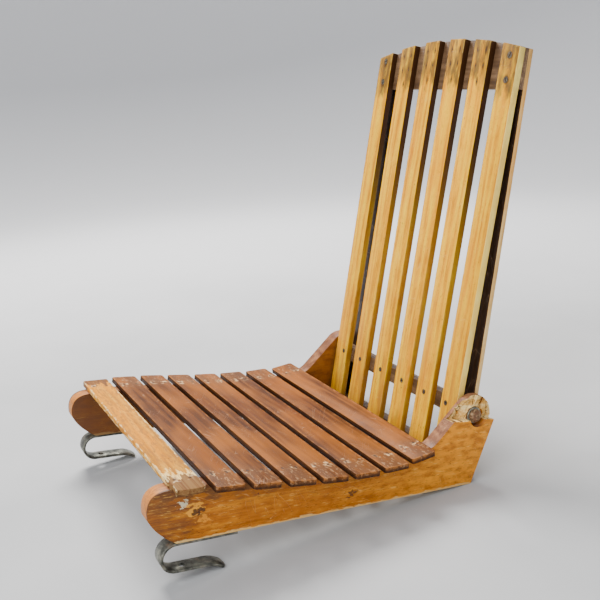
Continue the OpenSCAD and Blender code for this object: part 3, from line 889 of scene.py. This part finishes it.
def slatTree():
    tree, given, end = startTree("slats", {"Length": 0.38, "Width": 0.03, "Thickness": 0.006, "Corner": 0.002,
                                           "Ripple": 0.0003, "Seed": 1.0, "Wood": None})
    boards = placed(tree, given["Geometry"], slatBoard(tree, given))
    # uneven outlines, and ends cut to the arch of the back
    place = stored(tree, "place", "FLOAT_VECTOR")
    plank = calc(tree, "ADD", stored(tree, "plank"), given["Seed"])
    where = vectorCalc(tree, "ADD", place, vectorCalc(tree, "SCALE", (9.0, 4.0, 2.0), plank))
    ripple = addNode(tree, "ShaderNodeTexNoise", {"Vector": where, "Scale": 95.0, "Detail": 3.0}).outputs[1]
    ripple = vectorCalc(tree, "MULTIPLY", vectorCalc(tree, "SUBTRACT", ripple, (0.5, 0.5, 0.5)), (1, 1, 0))
    ripple = vectorCalc(tree, "SCALE", ripple, calc(tree, "MULTIPLY", given["Ripple"], 2.0))
    along, across = addNode(tree, "ShaderNodeSeparateXYZ", {0: place}).outputs[:2]
    share = calc(tree, "ADD", calc(tree, "DIVIDE", along, given["Length"]), 0.5)
    cut = calc(tree, "ADD", stored(tree, "endDrop"),
               calc(tree, "MULTIPLY", stored(tree, "endSlope"), across))
    shift = vectorOf(tree, calc(tree, "MULTIPLY", share, cut))
    offset = addNode(tree, "ShaderNodeVectorRotate",
                     {"Vector": vectorCalc(tree, "ADD", ripple, shift),
                      "Rotation": stored(tree, "turn", "FLOAT_VECTOR")},
                     rotation_type="EULER_XYZ").outputs[0]
    boards = addNode(tree, "GeometryNodeSetPosition", {"Geometry": boards, "Offset": offset}).outputs[0]
    angle = addNode(tree, "GeometryNodeInputMeshEdgeAngle").outputs[0]
    rubbed = spanOf(tree, noiseAt(tree, position(tree), 45, 2), 0.3, 0.7, 0.4, 1.0)
    rounding = calc(tree, "MULTIPLY", spanOf(tree, angle, 0.7, 0.8), rubbed)
    boards = store(tree, boards, "bevel_weight_edge", rounding, "FLOAT", "EDGE")
    feed(tree, end.inputs[0], painted(tree, boards, given["Wood"]))
    return tree


def screwTree():
    # a slotted countersunk head on a plain shank
    tree, given, end = startTree("screws", {"Head": 0.008, "Shank": 0.0045, "Length": 0.014, "Proud": 0.0004,
                                            "Steel": None, "DirtAndShade": None})

    def part(name, share):
        return calc(tree, "MULTIPLY", given[name], share)
    depth = part("Head", 0.36)
    head = addNode(tree, "GeometryNodeMeshCone", {"Vertices": 28, "Radius Top": part("Head", 0.5),
                   "Radius Bottom": part("Shank", 0.5), "Depth": depth}).outputs[0]
    head = movedBy(tree, head, vectorOf(tree, z=calc(tree, "SUBTRACT", given["Proud"], depth)))
    head = painted(tree, head, given["Steel"])
    size = vectorOf(tree, part("Head", 1.3), part("Head", 0.16), part("Proud", 1.7))
    slot = addNode(tree, "GeometryNodeMeshCube", {"Size": size}).outputs[0]
    # the slot takes the near-black dirt and painted shade
    slot = painted(tree, movedBy(tree, slot, vectorOf(tree, z=given["Proud"])), given["DirtAndShade"])
    cut = addNode(tree, "GeometryNodeMeshBoolean", {0: head, 1: slot}, operation="DIFFERENCE").outputs[0]
    shank = addNode(tree, "GeometryNodeMeshCylinder", {"Vertices": 14, "Radius": part("Shank", 0.45),
                    "Depth": given["Length"]}).outputs[0]
    drop = calc(tree, "SUBTRACT", part("Length", -0.5), calc(tree, "MULTIPLY", depth, 0.8))
    shank = painted(tree, movedBy(tree, shank, vectorOf(tree, z=drop)), given["Steel"])
    feed(tree, end.inputs[0], placed(tree, given["Geometry"], joined(tree, cut, shank)))
    return tree


nailShape = {"headHigh": 0.0008, "shank": 0.0009, "overlap": 0.0006}


def nailTree():
    tree, given, end = startTree("nails", {"Head": 0.0028, "Length": 0.018, "Proud": 0.00015, "Iron": None})
    head = addNode(tree, "GeometryNodeMeshCone",
                   {"Vertices": 14, "Radius Top": calc(tree, "MULTIPLY", given["Head"], 0.40),
                    "Radius Bottom": calc(tree, "MULTIPLY", given["Head"], 0.5),
                    "Depth": nailShape["headHigh"]}).outputs[0]
    sink = calc(tree, "SUBTRACT", given["Proud"], nailShape["headHigh"])
    head = movedBy(tree, head, vectorOf(tree, z=sink))
    shank = addNode(tree, "GeometryNodeMeshCylinder",
                    {"Vertices": 8, "Radius": nailShape["shank"], "Depth": given["Length"]}).outputs[0]
    drop = calc(tree, "SUBTRACT", calc(tree, "MULTIPLY", given["Length"], -0.5), nailShape["overlap"])
    shank = movedBy(tree, shank, vectorOf(tree, z=drop))
    copies = placed(tree, given["Geometry"], joined(tree, head, shank))
    feed(tree, end.inputs[0], painted(tree, copies, given["Iron"]))
    return tree


stationFields = {"turn": ("FLOAT_VECTOR", (0, 0, 0)), "stretch": ("FLOAT_VECTOR", (1, 1, 1)),
                 "plank": ("FLOAT", 0.0), "endDrop": ("FLOAT", 0.0), "endSlope": ("FLOAT", 0.0)}


def growOn(name, stations, tree, values, bevel=None):
    # each station has a matrix for its place and turn, and may set further fields
    mesh = bpy.data.meshes.new(name)
    mesh.from_pydata([s["matrix"].to_translation() for s in stations], [], [])
    for key, (kind, usual) in stationFields.items():
        layer = mesh.attributes.new(key, kind, "POINT")
        for k, station in enumerate(stations):
            value = station["matrix"].to_euler() if key == "turn" else station.get(key, usual)
            if kind == "FLOAT":
                layer.data[k].value = value
            else:
                layer.data[k].vector = value
    obj = addObject(name, mesh)
    modifier = useModifier(obj, "NODES", node_group=tree)
    for item in tree.interface.items_tree:
        if item.item_type == "SOCKET" and item.in_out == "INPUT" and item.name in values:
            modifier[item.identifier] = values[item.name]
    if bevel:
        useModifier(obj, "BEVEL", width=bevel, segments=2, limit_method="WEIGHT")
    freezeModifiers(obj)
    bm = bmesh.new()
    bm.from_mesh(obj.data)
    bmesh.ops.recalc_face_normals(bm, faces=bm.faces)
    bm.to_mesh(obj.data)
    bm.free()
    for key in ("turn", "stretch", "endDrop", "endSlope", "bevel_weight_edge"):
        if key in obj.data.attributes:
            obj.data.attributes.remove(obj.data.attributes[key])
    return smoothFaces(obj)


slats, screws, nails = slatTree(), screwTree(), nailTree()
dice = random.Random(7)
print("geometry trees made")


# slats of the seat and the back
seatSlats = {"corner": 0.0035, "ripple": 0.0005, "seed": 3.0, "edge": 0.0012, "askew": 0.12}
frontSlat = {"corner": 0.003, "edge": 0.0008, "board": 0.62, "biteTo": 0.15, "biteGrain": 90,
             "biteDeep": 0.0012, "splinterFrom": 0.030,
             # points of the splintered near corner, from the slat's end and front edge
             "splinter": ((-0.030, 0.0000), (-0.0240, 0.0001), (-0.0236, 0.0010), (-0.0160, 0.0006),
                          (-0.0150, 0.0022), (-0.0070, 0.0016), (-0.0030, 0.0012), (-0.0002, 0.0004),
                          (-0.0022, 0.0040)),
             "nearEnd": (0.008, 0.013, 0.018, 0.023, 0.028)}
backSlats = {"corner": 0.0012, "ripple": 0.0003, "seed": 11.0, "stray": 0.0004}


def seatStation(i):
    y = slatY(i)
    return (railSpace @ Matrix.Translation((0, y, seatTop(y) - seat["thick"]))
            @ Matrix.Rotation(slatAngle(y), 4, "X"))


def makeSeatSlats():
    stations = []
    for i in range(1, seat["count"]):
        askew = math.radians(dice.uniform(-seatSlats["askew"], seatSlats["askew"]))
        stations.append({"matrix": seatStation(i) @ Matrix.Rotation(askew, 4, "Z"),
                         "stretch": (2 * slatReach(i) / seat["length"], 1, 1), "plank": 0.13 * i % 1})
    values = {"Length": seat["length"], "Width": seat["width"], "Thickness": seat["thick"],
              "Corner": seatSlats["corner"], "Ripple": seatSlats["ripple"], "Seed": seatSlats["seed"],
              "Wood": seatWood}
    obj = growOn("seatSlats", stations, slats, values, bevel=seatSlats["edge"])
    settle(obj, None, "seat", "seat_wood", *[f"seat_slat_{i + 1}" for i in range(1, seat["count"])])
    print("seat slats:", len(obj.data.polygons), "faces")


def makeFrontSlat():
    # rounded far end, a ragged front edge and a splintered near corner
    rough = random.Random(21)
    reach, half, corner = slatReach(0), seat["width"] / 2, frontSlat["corner"]
    outline = arcPoints((-reach + corner, half - corner), corner, 90, 180, 5)
    outline += arcPoints((-reach + corner, -half + corner), corner, 180, 270, 5)
    outline = spacedOut(outline + [Vector((reach - frontSlat["splinterFrom"], -half))], 0.003)[:-1]
    outline = [p for p in outline if not (p.y > -half + 0.004 and p.x > -reach + corner + 0.001)]
    jagged = []
    for p in outline:
        bite = 0
        if p.y < -half + 0.0005 and abs(p.x) < frontSlat["biteTo"]:
            bite = max(0, noise.noise(Vector((p.x * frontSlat["biteGrain"], 3.3, 0))) - 0.15)
        jagged.append((p.x, p.y + bite * frontSlat["biteDeep"]))
    jagged += [(reach + x, -half + y) for x, y in frontSlat["splinter"]]
    jagged += [(reach + rough.uniform(-0.0006, 0.0003), -half + y) for y in frontSlat["nearEnd"]]
    jagged.append((reach - 0.002, half - 0.0006))
    jagged += [(x * 0.005, half + rough.uniform(-0.0002, 0.0001)) for x in range(36, -36, -1)]
    loops = [[(p[0], p[1], z) for p in jagged] for z in (0, seat["thick"])]
    obj = addObject("frontSlat", loftMesh("frontSlat", loops))
    softenEdges(obj, frontSlat["edge"], 4.0)
    storeGrain(obj, (0, 1, 2), frontSlat["board"])
    obj.data.materials.append(frontWood)
    smoothFaces(obj)
    settle(obj, seatStation(0), "seat", "seat_wood", "seat_slat_1")
    print("front slat made")


def makeBackSlats():
    full = back["height"] + back["foot"]
    stations = []
    for i in range(back["count"]):
        x = backSlatX(i)
        stray = dice.uniform(-backSlats["stray"], backSlats["stray"])
        way = Matrix(((0, -1, 0, x + stray), (0, 0, -1, back["thick"]),
                      (1, 0, 0, full / 2 - back["foot"]), (0, 0, 0, 1)))
        slope = (archHeight(x - 0.01) - archHeight(x + 0.01)) / 0.02
        stations.append({"matrix": backSpace @ way, "plank": (0.21 + 0.17 * i) % 1,
                         "endDrop": archHeight(x) - back["height"], "endSlope": slope})
    values = {"Length": full, "Width": back["slatWidth"], "Thickness": back["thick"],
              "Corner": backSlats["corner"], "Ripple": backSlats["ripple"], "Seed": backSlats["seed"],
              "Wood": backWood}
    obj = growOn("backSlats", stations, slats, values, bevel=back["edge"])
    settle(obj, None, "back", "back_wood", *[f"back_slat_{i + 1}" for i in range(back["count"])])
    print("back slats:", len(obj.data.polygons), "faces")


makeSeatSlats()
makeFrontSlat()
makeBackSlats()


# rails
def railOutline():
    pivot = Vector((rail["pivotY"], rail["pivotZ"]))
    rearWay = math.degrees(math.atan2(pivot.y, pivot.x) - math.asin(rail["ear"] / pivot.length))
    shoulder = pivot + rail["ear"] * heading(135)
    half = seat["width"] / 2

    def under(i, across):
        # a corner of a slat's underside, where the rail carries it
        turn = slatAngle(slatY(i))
        return Vector((slatY(i) + across * math.cos(turn),
                       seatTop(slatY(i)) - seat["thick"] + across * math.sin(turn)))
    last = under(seat["count"] - 1, half)
    foot = Vector((last.x + 0.015, shoulder.y - (shoulder.x - last.x - 0.015)))
    noseTop = seatTop(seat["firstY"]) - seat["thick"]
    points = [Vector((0, 0))] + arcPoints(pivot, rail["ear"], rearWay - 90, 135, 40)
    points += bendPoints(foot, (last.x + 0.008, foot.y - 0.007), last, 14)
    for i in reversed(range(seat["count"])):
        points += [under(i, half), under(i, -half)]
    # the nose: rounded above, then drawn in to where the hook starts
    points += bendPoints((noseY + 0.022, noseTop), (noseY, noseTop - 0.001), (noseY, noseTop - 0.022), 18)
    points += bendPoints((noseY + 0.0005, noseTop - 0.028), (noseY + 0.008, 0.014), (hookY, 0), 16)
    clean = [points[0]]
    for p in points[1:]:
        if (p - clean[-1]).length > 2e-5:
            clean.append(p)
    return spacedOut(clean, 0.006)


def paintRim(obj):
    # the sawn edges take the second material
    for face in obj.data.polygons:
        if face.material_index == 0 and abs(face.normal.x) < 0.6:
            face.material_index = 1


def railBlank(name, side):
    x0, x1 = sorted((side * railInner, side * railOuter))
    obj = addObject(name, prismMesh(name, railOutline(), x0, x1))
    softenEdges(obj, rail["edge"], 2.0 * side)
    for material in (railWood, rimWood, rawWood):
        obj.data.materials.append(material)
    paintRim(obj)
    pivot = (rail["pivotY"], rail["pivotZ"])
    bore = rodMesh("bore", pivot, rail["boreWidth"] / 2, x0 - 0.001, x1 + 0.001)
    face = side * (railOuter - rail["counterDepth"])
    sunk = rodMesh("counterbore", pivot, rail["counterWidth"] / 2, *sorted((face, face + side * 0.012)))
    for cutter in (bore, sunk):
        cutter.materials.append(rimWood)
        subtract(obj, cutter)
    return obj


# the torn ear of the left rail, in the rail's own Y and Z
split = {"from": -0.060, "step": 0.0008, "columns": 137, "rows": 48, "ledgeRows": 9, "easeRows": 7,
         "top": 0.126,
         "ledge": ((-0.060, 0.0825), (-0.020, 0.0805), (0.020, 0.0785), (0.050, 0.0740)),
         "strip": 0.0042, "uneven": 0.0034, "crackDeep": 0.0045, "backOff": 0.00023,
         "frontDeeper": 0.0052, "deeperFrom": -0.008, "deeperOver": 0.006,
         # each crack runs between two points, with its half width
         "cracks": (((-0.030, 0.106), (-0.014, 0.084), 0.0009), ((0.0215, 0.100), (0.0235, 0.078), 0.0010),
                    ((0.0125, 0.104), (0.0130, 0.091), 0.0008), ((-0.020, 0.100), (-0.012, 0.092), 0.0006))}


def splitDepth(y, z):
    # long splinters torn off at different depths, with a few open cracks between them
    way = heading(rail["tear"])
    cross = y * way.y - z * way.x + 0.0016 * noise.noise(Vector((y * 60, z * 60, 0)))
    number = math.floor(cross / split["strip"])
    within = cross / split["strip"] - number

    def level(n):
        return noise.cell(Vector((n * 1.7 + 0.5, 0.5, 0.5))) - 0.5
    depth = split["uneven"] * level(number)
    if within > 0.8:
        depth += split["uneven"] * (level(number + 1) - level(number)) * (within - 0.8) / 0.2
    depth += 0.0009 * noise.noise(Vector((cross * 900, (y * way.x + z * way.y) * 60, 1)))
    depth += 0.0016 * noise.noise(Vector((y * 45, z * 45, 8)))
    for a, b, wide in split["cracks"]:
        a, b, p = Vector(a), Vector(b), Vector((y, z))
        t = max(0, min(1, (p - a).dot(b - a) / (b - a).length_squared))
        depth -= split["crackDeep"] * math.exp(-((p - a - (b - a) * t).length / wide) ** 2)
    return depth


def splitCutter():
    # a block over the ear: a rough ledge below, the torn face behind
    outside = railOuter + 0.002
    loops = []
    for k in range(split["columns"]):
        y = split["from"] + split["step"] * k
        a, b = next((a, b) for a, b in zip(split["ledge"], split["ledge"][1:]) if y <= b[0] + 1e-9)
        ledge = a[1] + (b[1] - a[1]) * (y - a[0]) / (b[0] - a[0])
        # in front of the bolt the split runs in nearly to the inner side
        deeper = max(0, min(1, (split["deeperFrom"] - y) / split["deeperOver"]))
        inner = railOuter - rail["counterDepth"] + split["backOff"] - split["frontDeeper"] * deeper
        loop = []
        for j in range(split["ledgeRows"]):
            share = j / split["ledgeRows"]
            x = outside - (outside - inner) * share
            rough = 0.0012 * noise.noise(Vector((y * 110, x * 260, 4)))
            rough += 0.0007 * noise.noise(Vector((y * 500, x * 500, 2)))
            loop.append((x, y, ledge + (rough + 0.001) * (1 - share)))
        for j in range(split["rows"]):
            z = ledge + split["step"] * j
            loop.append((inner + min(1, j / split["easeRows"]) * splitDepth(y, z), y, z))
        loop += [(inner, y, split["top"]), (outside, y, split["top"])]
        loops.append(loop)
    mesh = loftMesh("splitCutter", loops)
    mesh.materials.append(rawWood)
    return mesh


def makeRails():
    right = railBlank("railRight", -1)
    left = railBlank("railLeft", 1)
    subtract(left, splitCutter())
    for obj, node, plank in ((right, "rail_right", 0.25), (left, "rail_left", 0.55)):
        storeGrain(obj, (1, 2, 0), plank)
        smoothFaces(obj, 32)
        settle(obj, railSpace, "seat", "rail_wood", node)
        print(obj.name, len(obj.data.polygons), "faces")


# hooks bent from flat steel strap
def strapRing(p, up, wide, dent, side):
    # eight points round the strap, two for each rounded corner
    ring = []
    for sx, t in ((-1, 0), (-1, 1), (1, 1), (1, 0)):
        for first in (True, False):
            alongWidth = first == (sx * (2 * t - 1) > 0)
            dx = hook["edge"] if alongWidth else 0
            dt = 0 if alongWidth else hook["edge"]
            q = p + up * ((dt if t == 0 else hook["thick"] - dt) + dent)
            ring.append((side * railMiddle + sx * (wide - dx), q.x, q.y))
    return ring


def makeHook(name, side, node):
    path = hookPath()
    count = len(path)
    across, tip = (railOuter - railInner) / 2 - 0.0001, hook["tipRound"]
    lengths = [0.0]
    for a, b in zip(path, path[1:]):
        lengths.append(lengths[-1] + (b - a).length)
    loops = []
    for k, p in enumerate(path):
        way = (path[min(k + 1, count - 1)] - path[max(k - 1, 0)]).normalized()
        up = Vector((-way.y, way.x)) if k > 8 else Vector((0, -1))          # into the hook
        left = lengths[-1] - lengths[k]
        nip = tip - math.sqrt(max(0, tip ** 2 - (tip - left) ** 2)) if left < tip else 0
        dent = 0.00022 * noise.noise(Vector((p.x * 90, p.y * 90, side)))
        loops.append(strapRing(p, up, across - nip, dent, side))
    obj = addObject(name, loftMesh(name, loops))
    obj.data.materials.append(strapSteel)
    hole = rodMesh("hole", (0, 0), hook["hole"] / 2, -0.008, 0.008, 28)
    hole.transform(Matrix.Translation((side * railMiddle, hookY + hook["screwFrom"], -2 * hook["bend"]))
                   @ Matrix.Rotation(math.pi / 2, 4, "Y"))
    hole.materials.append(strapSteel)
    subtract(obj, hole)
    smoothFaces(obj, 50)
    settle(obj, railSpace, "seat", "strap_steel", node)


# cross pieces of the back and its two rear stiles
bars = {"topDeep": 0.060, "topEdge": 0.0007, "pivot": (-0.009, 0.011), "footHigh": 0.016, "edge": 0.0011,
        "wave": 0.00025,
        # drying cracks in the top rail's end: how far down, how far in, how tall
        "cracks": ((-0.012, 0.0022, 0.040), (-0.040, 0.0034, 0.026))}


def barOutline(u0, u1):
    return [(back["thick"], u0), (back["thick"] + stileGap(u0), u0),
            (back["thick"] + stileGap(u1), u1), (back["thick"], u1)]


def makeTopRail():
    low = back["height"] - bars["topDeep"]
    loops = []
    for k in range(41):
        x = (k / 40 - 0.5) * back["width"]
        loops.append([(x, v, u) for v, u in barOutline(low, archHeight(x) - 0.0004)])
    obj = addObject("topRail", loftMesh("topRail", loops))
    obj.data.materials.append(barWood)
    end = back["width"] / 2
    for down, inset, tall in bars["cracks"]:
        v, top = back["thick"] + inset, back["height"] + down
        outline = [(v, top - tall), (v + 0.0007, top - tall / 2), (v + 0.0004, top)]
        wedge = prismMesh("wedge", outline, end - 0.004, end + 0.001)
        # the crack's walls take the near-black dirt and painted shade
        wedge.materials.append(slotDirtAndShade)
        subtract(obj, wedge)
    softenEdges(obj, bars["topEdge"], 6.0)
    smoothFaces(obj)
    settle(obj, backSpace, "back", "bar_wood", "top_rail")


def makePlainBar(name, u0, u1, node):
    loops = []
    for k in range(49):
        x = (k / 48 - 0.5) * (back["width"] - 0.0004)
        wave = bars["wave"] * noise.noise(Vector((x * 40, u0 * 50, 0)))
        loops.append([(x, v + (wave if v > 0.02 else 0), u + wave) for v, u in barOutline(u0, u1)])
    obj = addObject(name, loftMesh(name, loops))
    softenEdges(obj, bars["edge"], 3.0 + u0)
    obj.data.materials.append(barWood)
    smoothFaces(obj)
    settle(obj, backSpace, "back", "bar_wood", node)


def makeStile(side, name, node):
    middle = side * (back["width"] - back["slatWidth"]) / 2
    loops = []
    for k in range(61):
        u = -back["foot"] + (back["height"] + back["foot"]) * k / 60
        front = back["thick"] + stileGap(u)
        ring = []
        for dx, v in ((-1, front), (1, front), (1, front + back["stile"]), (-1, front + back["stile"])):
            x = middle + dx * back["slatWidth"] / 2
            x += dx * 0.0003 * noise.noise(Vector((u * 50, dx * 7, side)))
            top = u if k < 60 else archHeight(x)
            top = min(top, archHeight(x)) - (0.0002 * (60 - k) if u > archHeight(x) else 0)
            ring.append((x, v, top))
        loops.append(ring)
    obj = addObject(name, loftMesh(name, loops))
    softenEdges(obj, back["edge"], side * 5.0)
    centre = (middle, back["thick"], (back["height"] - back["foot"]) / 2)
    storeGrain(obj, (2, 0, 1), 0.35 + 0.2 * side, centre)
    obj.data.materials.append(stileWood)
    obj.data.materials.append(shadeWood)
    # the front and inner faces, which face the slats, take the dark painted-shade wood
    for face in obj.data.polygons:
        face.material_index = 1 if face.normal.y < -0.7 or side * face.normal.x < -0.7 else 0
    smoothFaces(obj)
    settle(obj, backSpace, "back", "back_wood", node)


makeRails()
makeHook("hookRight", -1, "hook_right")
makeHook("hookLeft", 1, "hook_left")
print("rails and hooks made")
makeTopRail()
makePlainBar("pivotBar", *bars["pivot"], "pivot_bar")
makePlainBar("footBar", -back["foot"], -back["foot"] + bars["footHigh"], "foot_bar")
makeStile(-1, "stileRight", "stile_right")
makeStile(1, "stileLeft", "stile_left")
print("back made")


# screws and nails, one mesh for each kind and body
topScrews = {"Head": 0.008, "Shank": 0.0045, "Length": 0.011, "Proud": 0.0004}
backScrews = {"Head": 0.0066, "Shank": 0.0036, "Length": 0.007, "Proud": 0.0003}
hookScrews = dict(backScrews, Length=0.013)
seatNails = {"Head": 0.0028, "Length": 0.018, "Proud": 0.00015}
topNails = dict(seatNails, Head=0.0026, Length=0.010)
# side, distance below the top and turn of the slot
topScrewPlaces = ((1, 0.023, 62), (1, 0.051, 122), (-1, 0.023, 20), (-1, 0.051, 75))
# sideways and down from the top of each middle slat
topNailPlaces = ((-0.008, 0.012), (0.008, 0.012), (-0.007, 0.030), (0.007, 0.030), (0, 0.049))


def facing(x, v, u, spin, rear=False):
    # a station on the back whose own Z points out of the wood
    turn = Matrix.Rotation(math.pi / 2 * (-1 if rear else 1), 4, "X")
    turn = turn @ Matrix.Rotation(math.radians(spin), 4, "Z")
    return {"matrix": backSpace @ Matrix.Translation((x, v, u)) @ turn}


def makeScrews():
    edge = (back["width"] - back["slatWidth"]) / 2
    spins = random.Random(5)
    big = [facing(s * edge, 0, back["height"] - down, spin) for s, down, spin in topScrewPlaces]
    small = []
    for i in range(back["count"]):
        shift = {0: 0.006, back["count"] - 1: -0.006}.get(i, 0)
        small.append(facing(backSlatX(i) + shift, 0, 0.004, spins.uniform(0, 180)))
        small.append(facing(backSlatX(i), 0, -back["foot"] + 0.008, spins.uniform(0, 180)))
    for s in (-1, 1):
        for u in (0.001, -back["foot"] + 0.0125):
            rearFace = back["thick"] + stileGap(u) + back["stile"]
            small.append(facing(s * (edge - 0.007), rearFace, u, spins.uniform(0, 180), rear=True))
    steel = {"Steel": screwSteel, "DirtAndShade": slotDirtAndShade}
    obj = growOn("topScrews", big, screws, {**steel, **topScrews})
    settle(obj, None, "back", "screw_steel", "top_screws")
    obj = growOn("backScrews", small, screws, {**steel, **backScrews})
    settle(obj, None, "back", "screw_steel", "bar_screws", "foot_screws", "stile_screws")
    below = []
    for s in (-1, 1):
        for y in (hookY + hook["screwFrom"], hookY + hook["screwTo"]):
            turn = Matrix.Rotation(math.pi, 4, "X") @ Matrix.Rotation(spins.uniform(0, 3), 4, "Z")
            at = Matrix.Translation((s * railMiddle, y, -hook["thick"]))
            below.append({"matrix": railSpace @ at @ turn})
    obj = growOn("hookScrews", below, screws, {**steel, **hookScrews})
    settle(obj, None, "seat", "screw_steel", "hook_screws")


def makeNails():
    spread = random.Random(3)
    stations = []
    for i in range(seat["count"]):
        for s in (-1, 1):
            for across in (-1, 1):
                at = Matrix.Translation((s * railMiddle + spread.uniform(-0.001, 0.001),
                                         across * seat["width"] * 0.26, seat["thick"]))
                spin = Matrix.Rotation(spread.uniform(0, 3), 4, "Z")
                stations.append({"matrix": seatStation(i) @ at @ spin})
    obj = growOn("seatNails", stations, nails, {"Iron": nailIron, **seatNails})
    settle(obj, None, "seat", "nail_iron", "seat_nails")
    stations = []
    for i in range(1, back["count"] - 1):
        x = backSlatX(i)
        for dx, down in topNailPlaces:
            stations.append(facing(x + dx, 0, archHeight(x) - down, spread.uniform(0, 90)))
    obj = growOn("topNails", stations, nails, {"Iron": nailIron, **topNails})
    settle(obj, None, "back", "nail_iron", "top_nails")


# pivot bolts with a worn domed head over a thin washer
bolt = {"shank": 0.004, "grip": 0.045, "head": 0.008, "high": 0.0065, "washer": 0.010, "washerThick": 0.0016,
        # radius and height of the dome, as shares of the head's own
        "dome": ((1, 0.10), (1, 0.38), (0.94, 0.60), (0.80, 0.78), (0.58, 0.90), (0.32, 0.97), (0.12, 1),
                 (0, 1)),
        "rough": 0.0006, "pitted": 0.0009}


def makeBolt(name, side, base):
    start = back["width"] / 2 - bolt["grip"]
    profile = [(0, start), (bolt["shank"], start), (bolt["shank"], base - 0.0002),
               (bolt["head"] * 0.94, base - 0.0001)]
    profile += [(bolt["head"] * r, base + bolt["high"] * h) for r, h in bolt["dome"]]
    obj = addObject(name, latheMesh(name, profile, 48))
    for vert in obj.data.vertices:
        if vert.co.x > base - 0.0001:
            push = noise.noise(vert.co * 420 + Vector((side, 0, 0))) * bolt["rough"]
            vert.co += Vector((0, vert.co.y, vert.co.z)).normalized() * push
            vert.co.x += min(0, noise.noise(vert.co * 260)) * bolt["pitted"]
    obj.data.materials.append(boltIron)
    return smoothFaces(obj, 60)


def makeWasher(name, under, base):
    bore, wide = bolt["shank"] + 0.0002, bolt["washer"]
    ring = [(bore, under), (wide - 0.0003, under), (wide, under + 0.0004), (wide, under + 0.0012),
            (wide - 0.0004, base), (bore, base)]
    obj = addObject(name, latheMesh(name, ring + ring[:1], 48))
    obj.data.materials.append(washerSteel)
    return smoothFaces(obj, 40)


def makePivots():
    space = railSpace @ Matrix.Translation((0, rail["pivotY"], rail["pivotZ"]))
    under = railOuter - rail["counterDepth"] + 0.0001
    base = under + bolt["washerThick"]
    for side, word in ((-1, "Right"), (1, "Left")):
        shaft = makeBolt("pivotBolt" + word, side, base)
        washer = makeWasher("washer" + word, under, base)
        if side < 0:
            for piece in (shaft, washer):
                piece.data.transform(Matrix.Scale(-1, 4, (1, 0, 0)))
                piece.data.flip_normals()
        settle(shaft, space, "back", "bolt_iron", "pivot_bolt_" + word.lower())
        settle(washer, space, "back", "screw_steel", "washer_" + word.lower())


makeScrews()
makeNails()
makePivots()
stopBar = frame["nodes"]["stop_bar"]
stopBar.data.materials.clear()
stopBar.data.materials.append(barWood)
print("screws, nails and pivots made")


# camera, light and floor
view = {"place": (0.91935, -0.44834, 0.50655), "turn": (74.388, 3.861, 62.005), "lens": 51.565,
        "shift": (-0.0114, -0.003)}
lights = {"keyLight": {"from": (-1.1, 0.2, 1.9), "to": (0, 0, 0.1), "size": 1.2, "power": 106,
                       "colour": (1.0, 0.985, 0.96)},
          "fillLight": {"from": (0.9, -1.6, 1.4), "to": (0, 0, 0.2), "size": 1.8, "power": 46,
                        "colour": (0.97, 0.985, 1.0)}}
sky = {"colour": (0.95, 0.97, 1.0, 1), "strength": 0.48}
floor = {"flat": 2.2, "bend": 2.0, "turns": 96, "paper": (178, 179, 180), "paperLight": (190, 190, 191),
         "far": (242, 242, 244)}


def makeCamera():
    camera = bpy.data.cameras.new("camera")
    obj = addObject("camera", camera)
    obj.location = view["place"]
    obj.rotation_euler = [math.radians(a) for a in view["turn"]]
    camera.lens = view["lens"]
    camera.sensor_width = 36
    camera.shift_x, camera.shift_y = view["shift"]
    camera.clip_start, camera.clip_end = 0.02, 60
    bpy.context.scene.camera = obj


def makeLight(name, setting):
    light = bpy.data.lights.new(name, "AREA")
    light.shape = "DISK"
    light.size = setting["size"]
    light.energy = setting["power"]
    light.color = setting["colour"]
    obj = addObject(name, light)
    obj.location = setting["from"]
    aim = Vector(setting["to"]) - Vector(setting["from"])
    obj.rotation_euler = aim.to_track_quat("-Z", "Y").to_euler()


def makeSky():
    world = bpy.data.worlds.new("studio")
    bpy.context.scene.world = world
    world.use_nodes = True
    background = world.node_tree.nodes["Background"]
    background.inputs["Color"].default_value = sky["colour"]
    background.inputs["Strength"].default_value = sky["strength"]


def makeFloorPaper():
    # lighter further out, so that it looks even as the light falls off
    material, tree, shader = startMaterial("floorPaper")
    place = addNode(tree, "ShaderNodeTexCoord").outputs["Object"]
    paper = rampOf(tree, noiseAt(tree, place, 3.0, 3), [(0.3, tone(*floor["paper"])),
                                                        (0.7, tone(*floor["paperLight"]))])
    away = spanOf(tree, vectorCalc(tree, "LENGTH", place), 0.45, 1.9)
    feed(tree, shader.inputs["Base Color"], blendIn(tree, paper, tone(*floor["far"]), away))
    shader.inputs["Roughness"].default_value = 0.9
    shader.inputs["Specular IOR Level"].default_value = 0.2
    return material


def makeFloor():
    # a wide shallow bowl, so that the floor runs up into a backdrop on every side
    profile = [(1.4, 0.0), (floor["flat"], 0.0)]
    profile += [(floor["flat"] + floor["bend"] * math.sin(a), floor["bend"] - floor["bend"] * math.cos(a))
                for a in (math.radians(6 * k) for k in range(1, 15))]
    turns = floor["turns"]
    bm = bmesh.new()
    rings = [[bm.verts.new((r * math.cos(2 * math.pi * k / turns), r * math.sin(2 * math.pi * k / turns), z))
              for k in range(turns)] for r, z in profile]
    middle = bm.verts.new((0, 0, 0))
    for k in range(turns):
        n = (k + 1) % turns
        bm.faces.new((middle, rings[0][k], rings[0][n]))
        for a, b in zip(rings, rings[1:]):
            bm.faces.new((a[k], b[k], b[n], a[n]))
    obj = addObject("floor", meshFrom("floor", bm))
    obj.data.shade_smooth()
    obj.data.materials.append(makeFloorPaper())


makeCamera()
makeFloor()
for lightName, lightSetting in lights.items():
    makeLight(lightName, lightSetting)
makeSky()
print("camera, light and floor made")
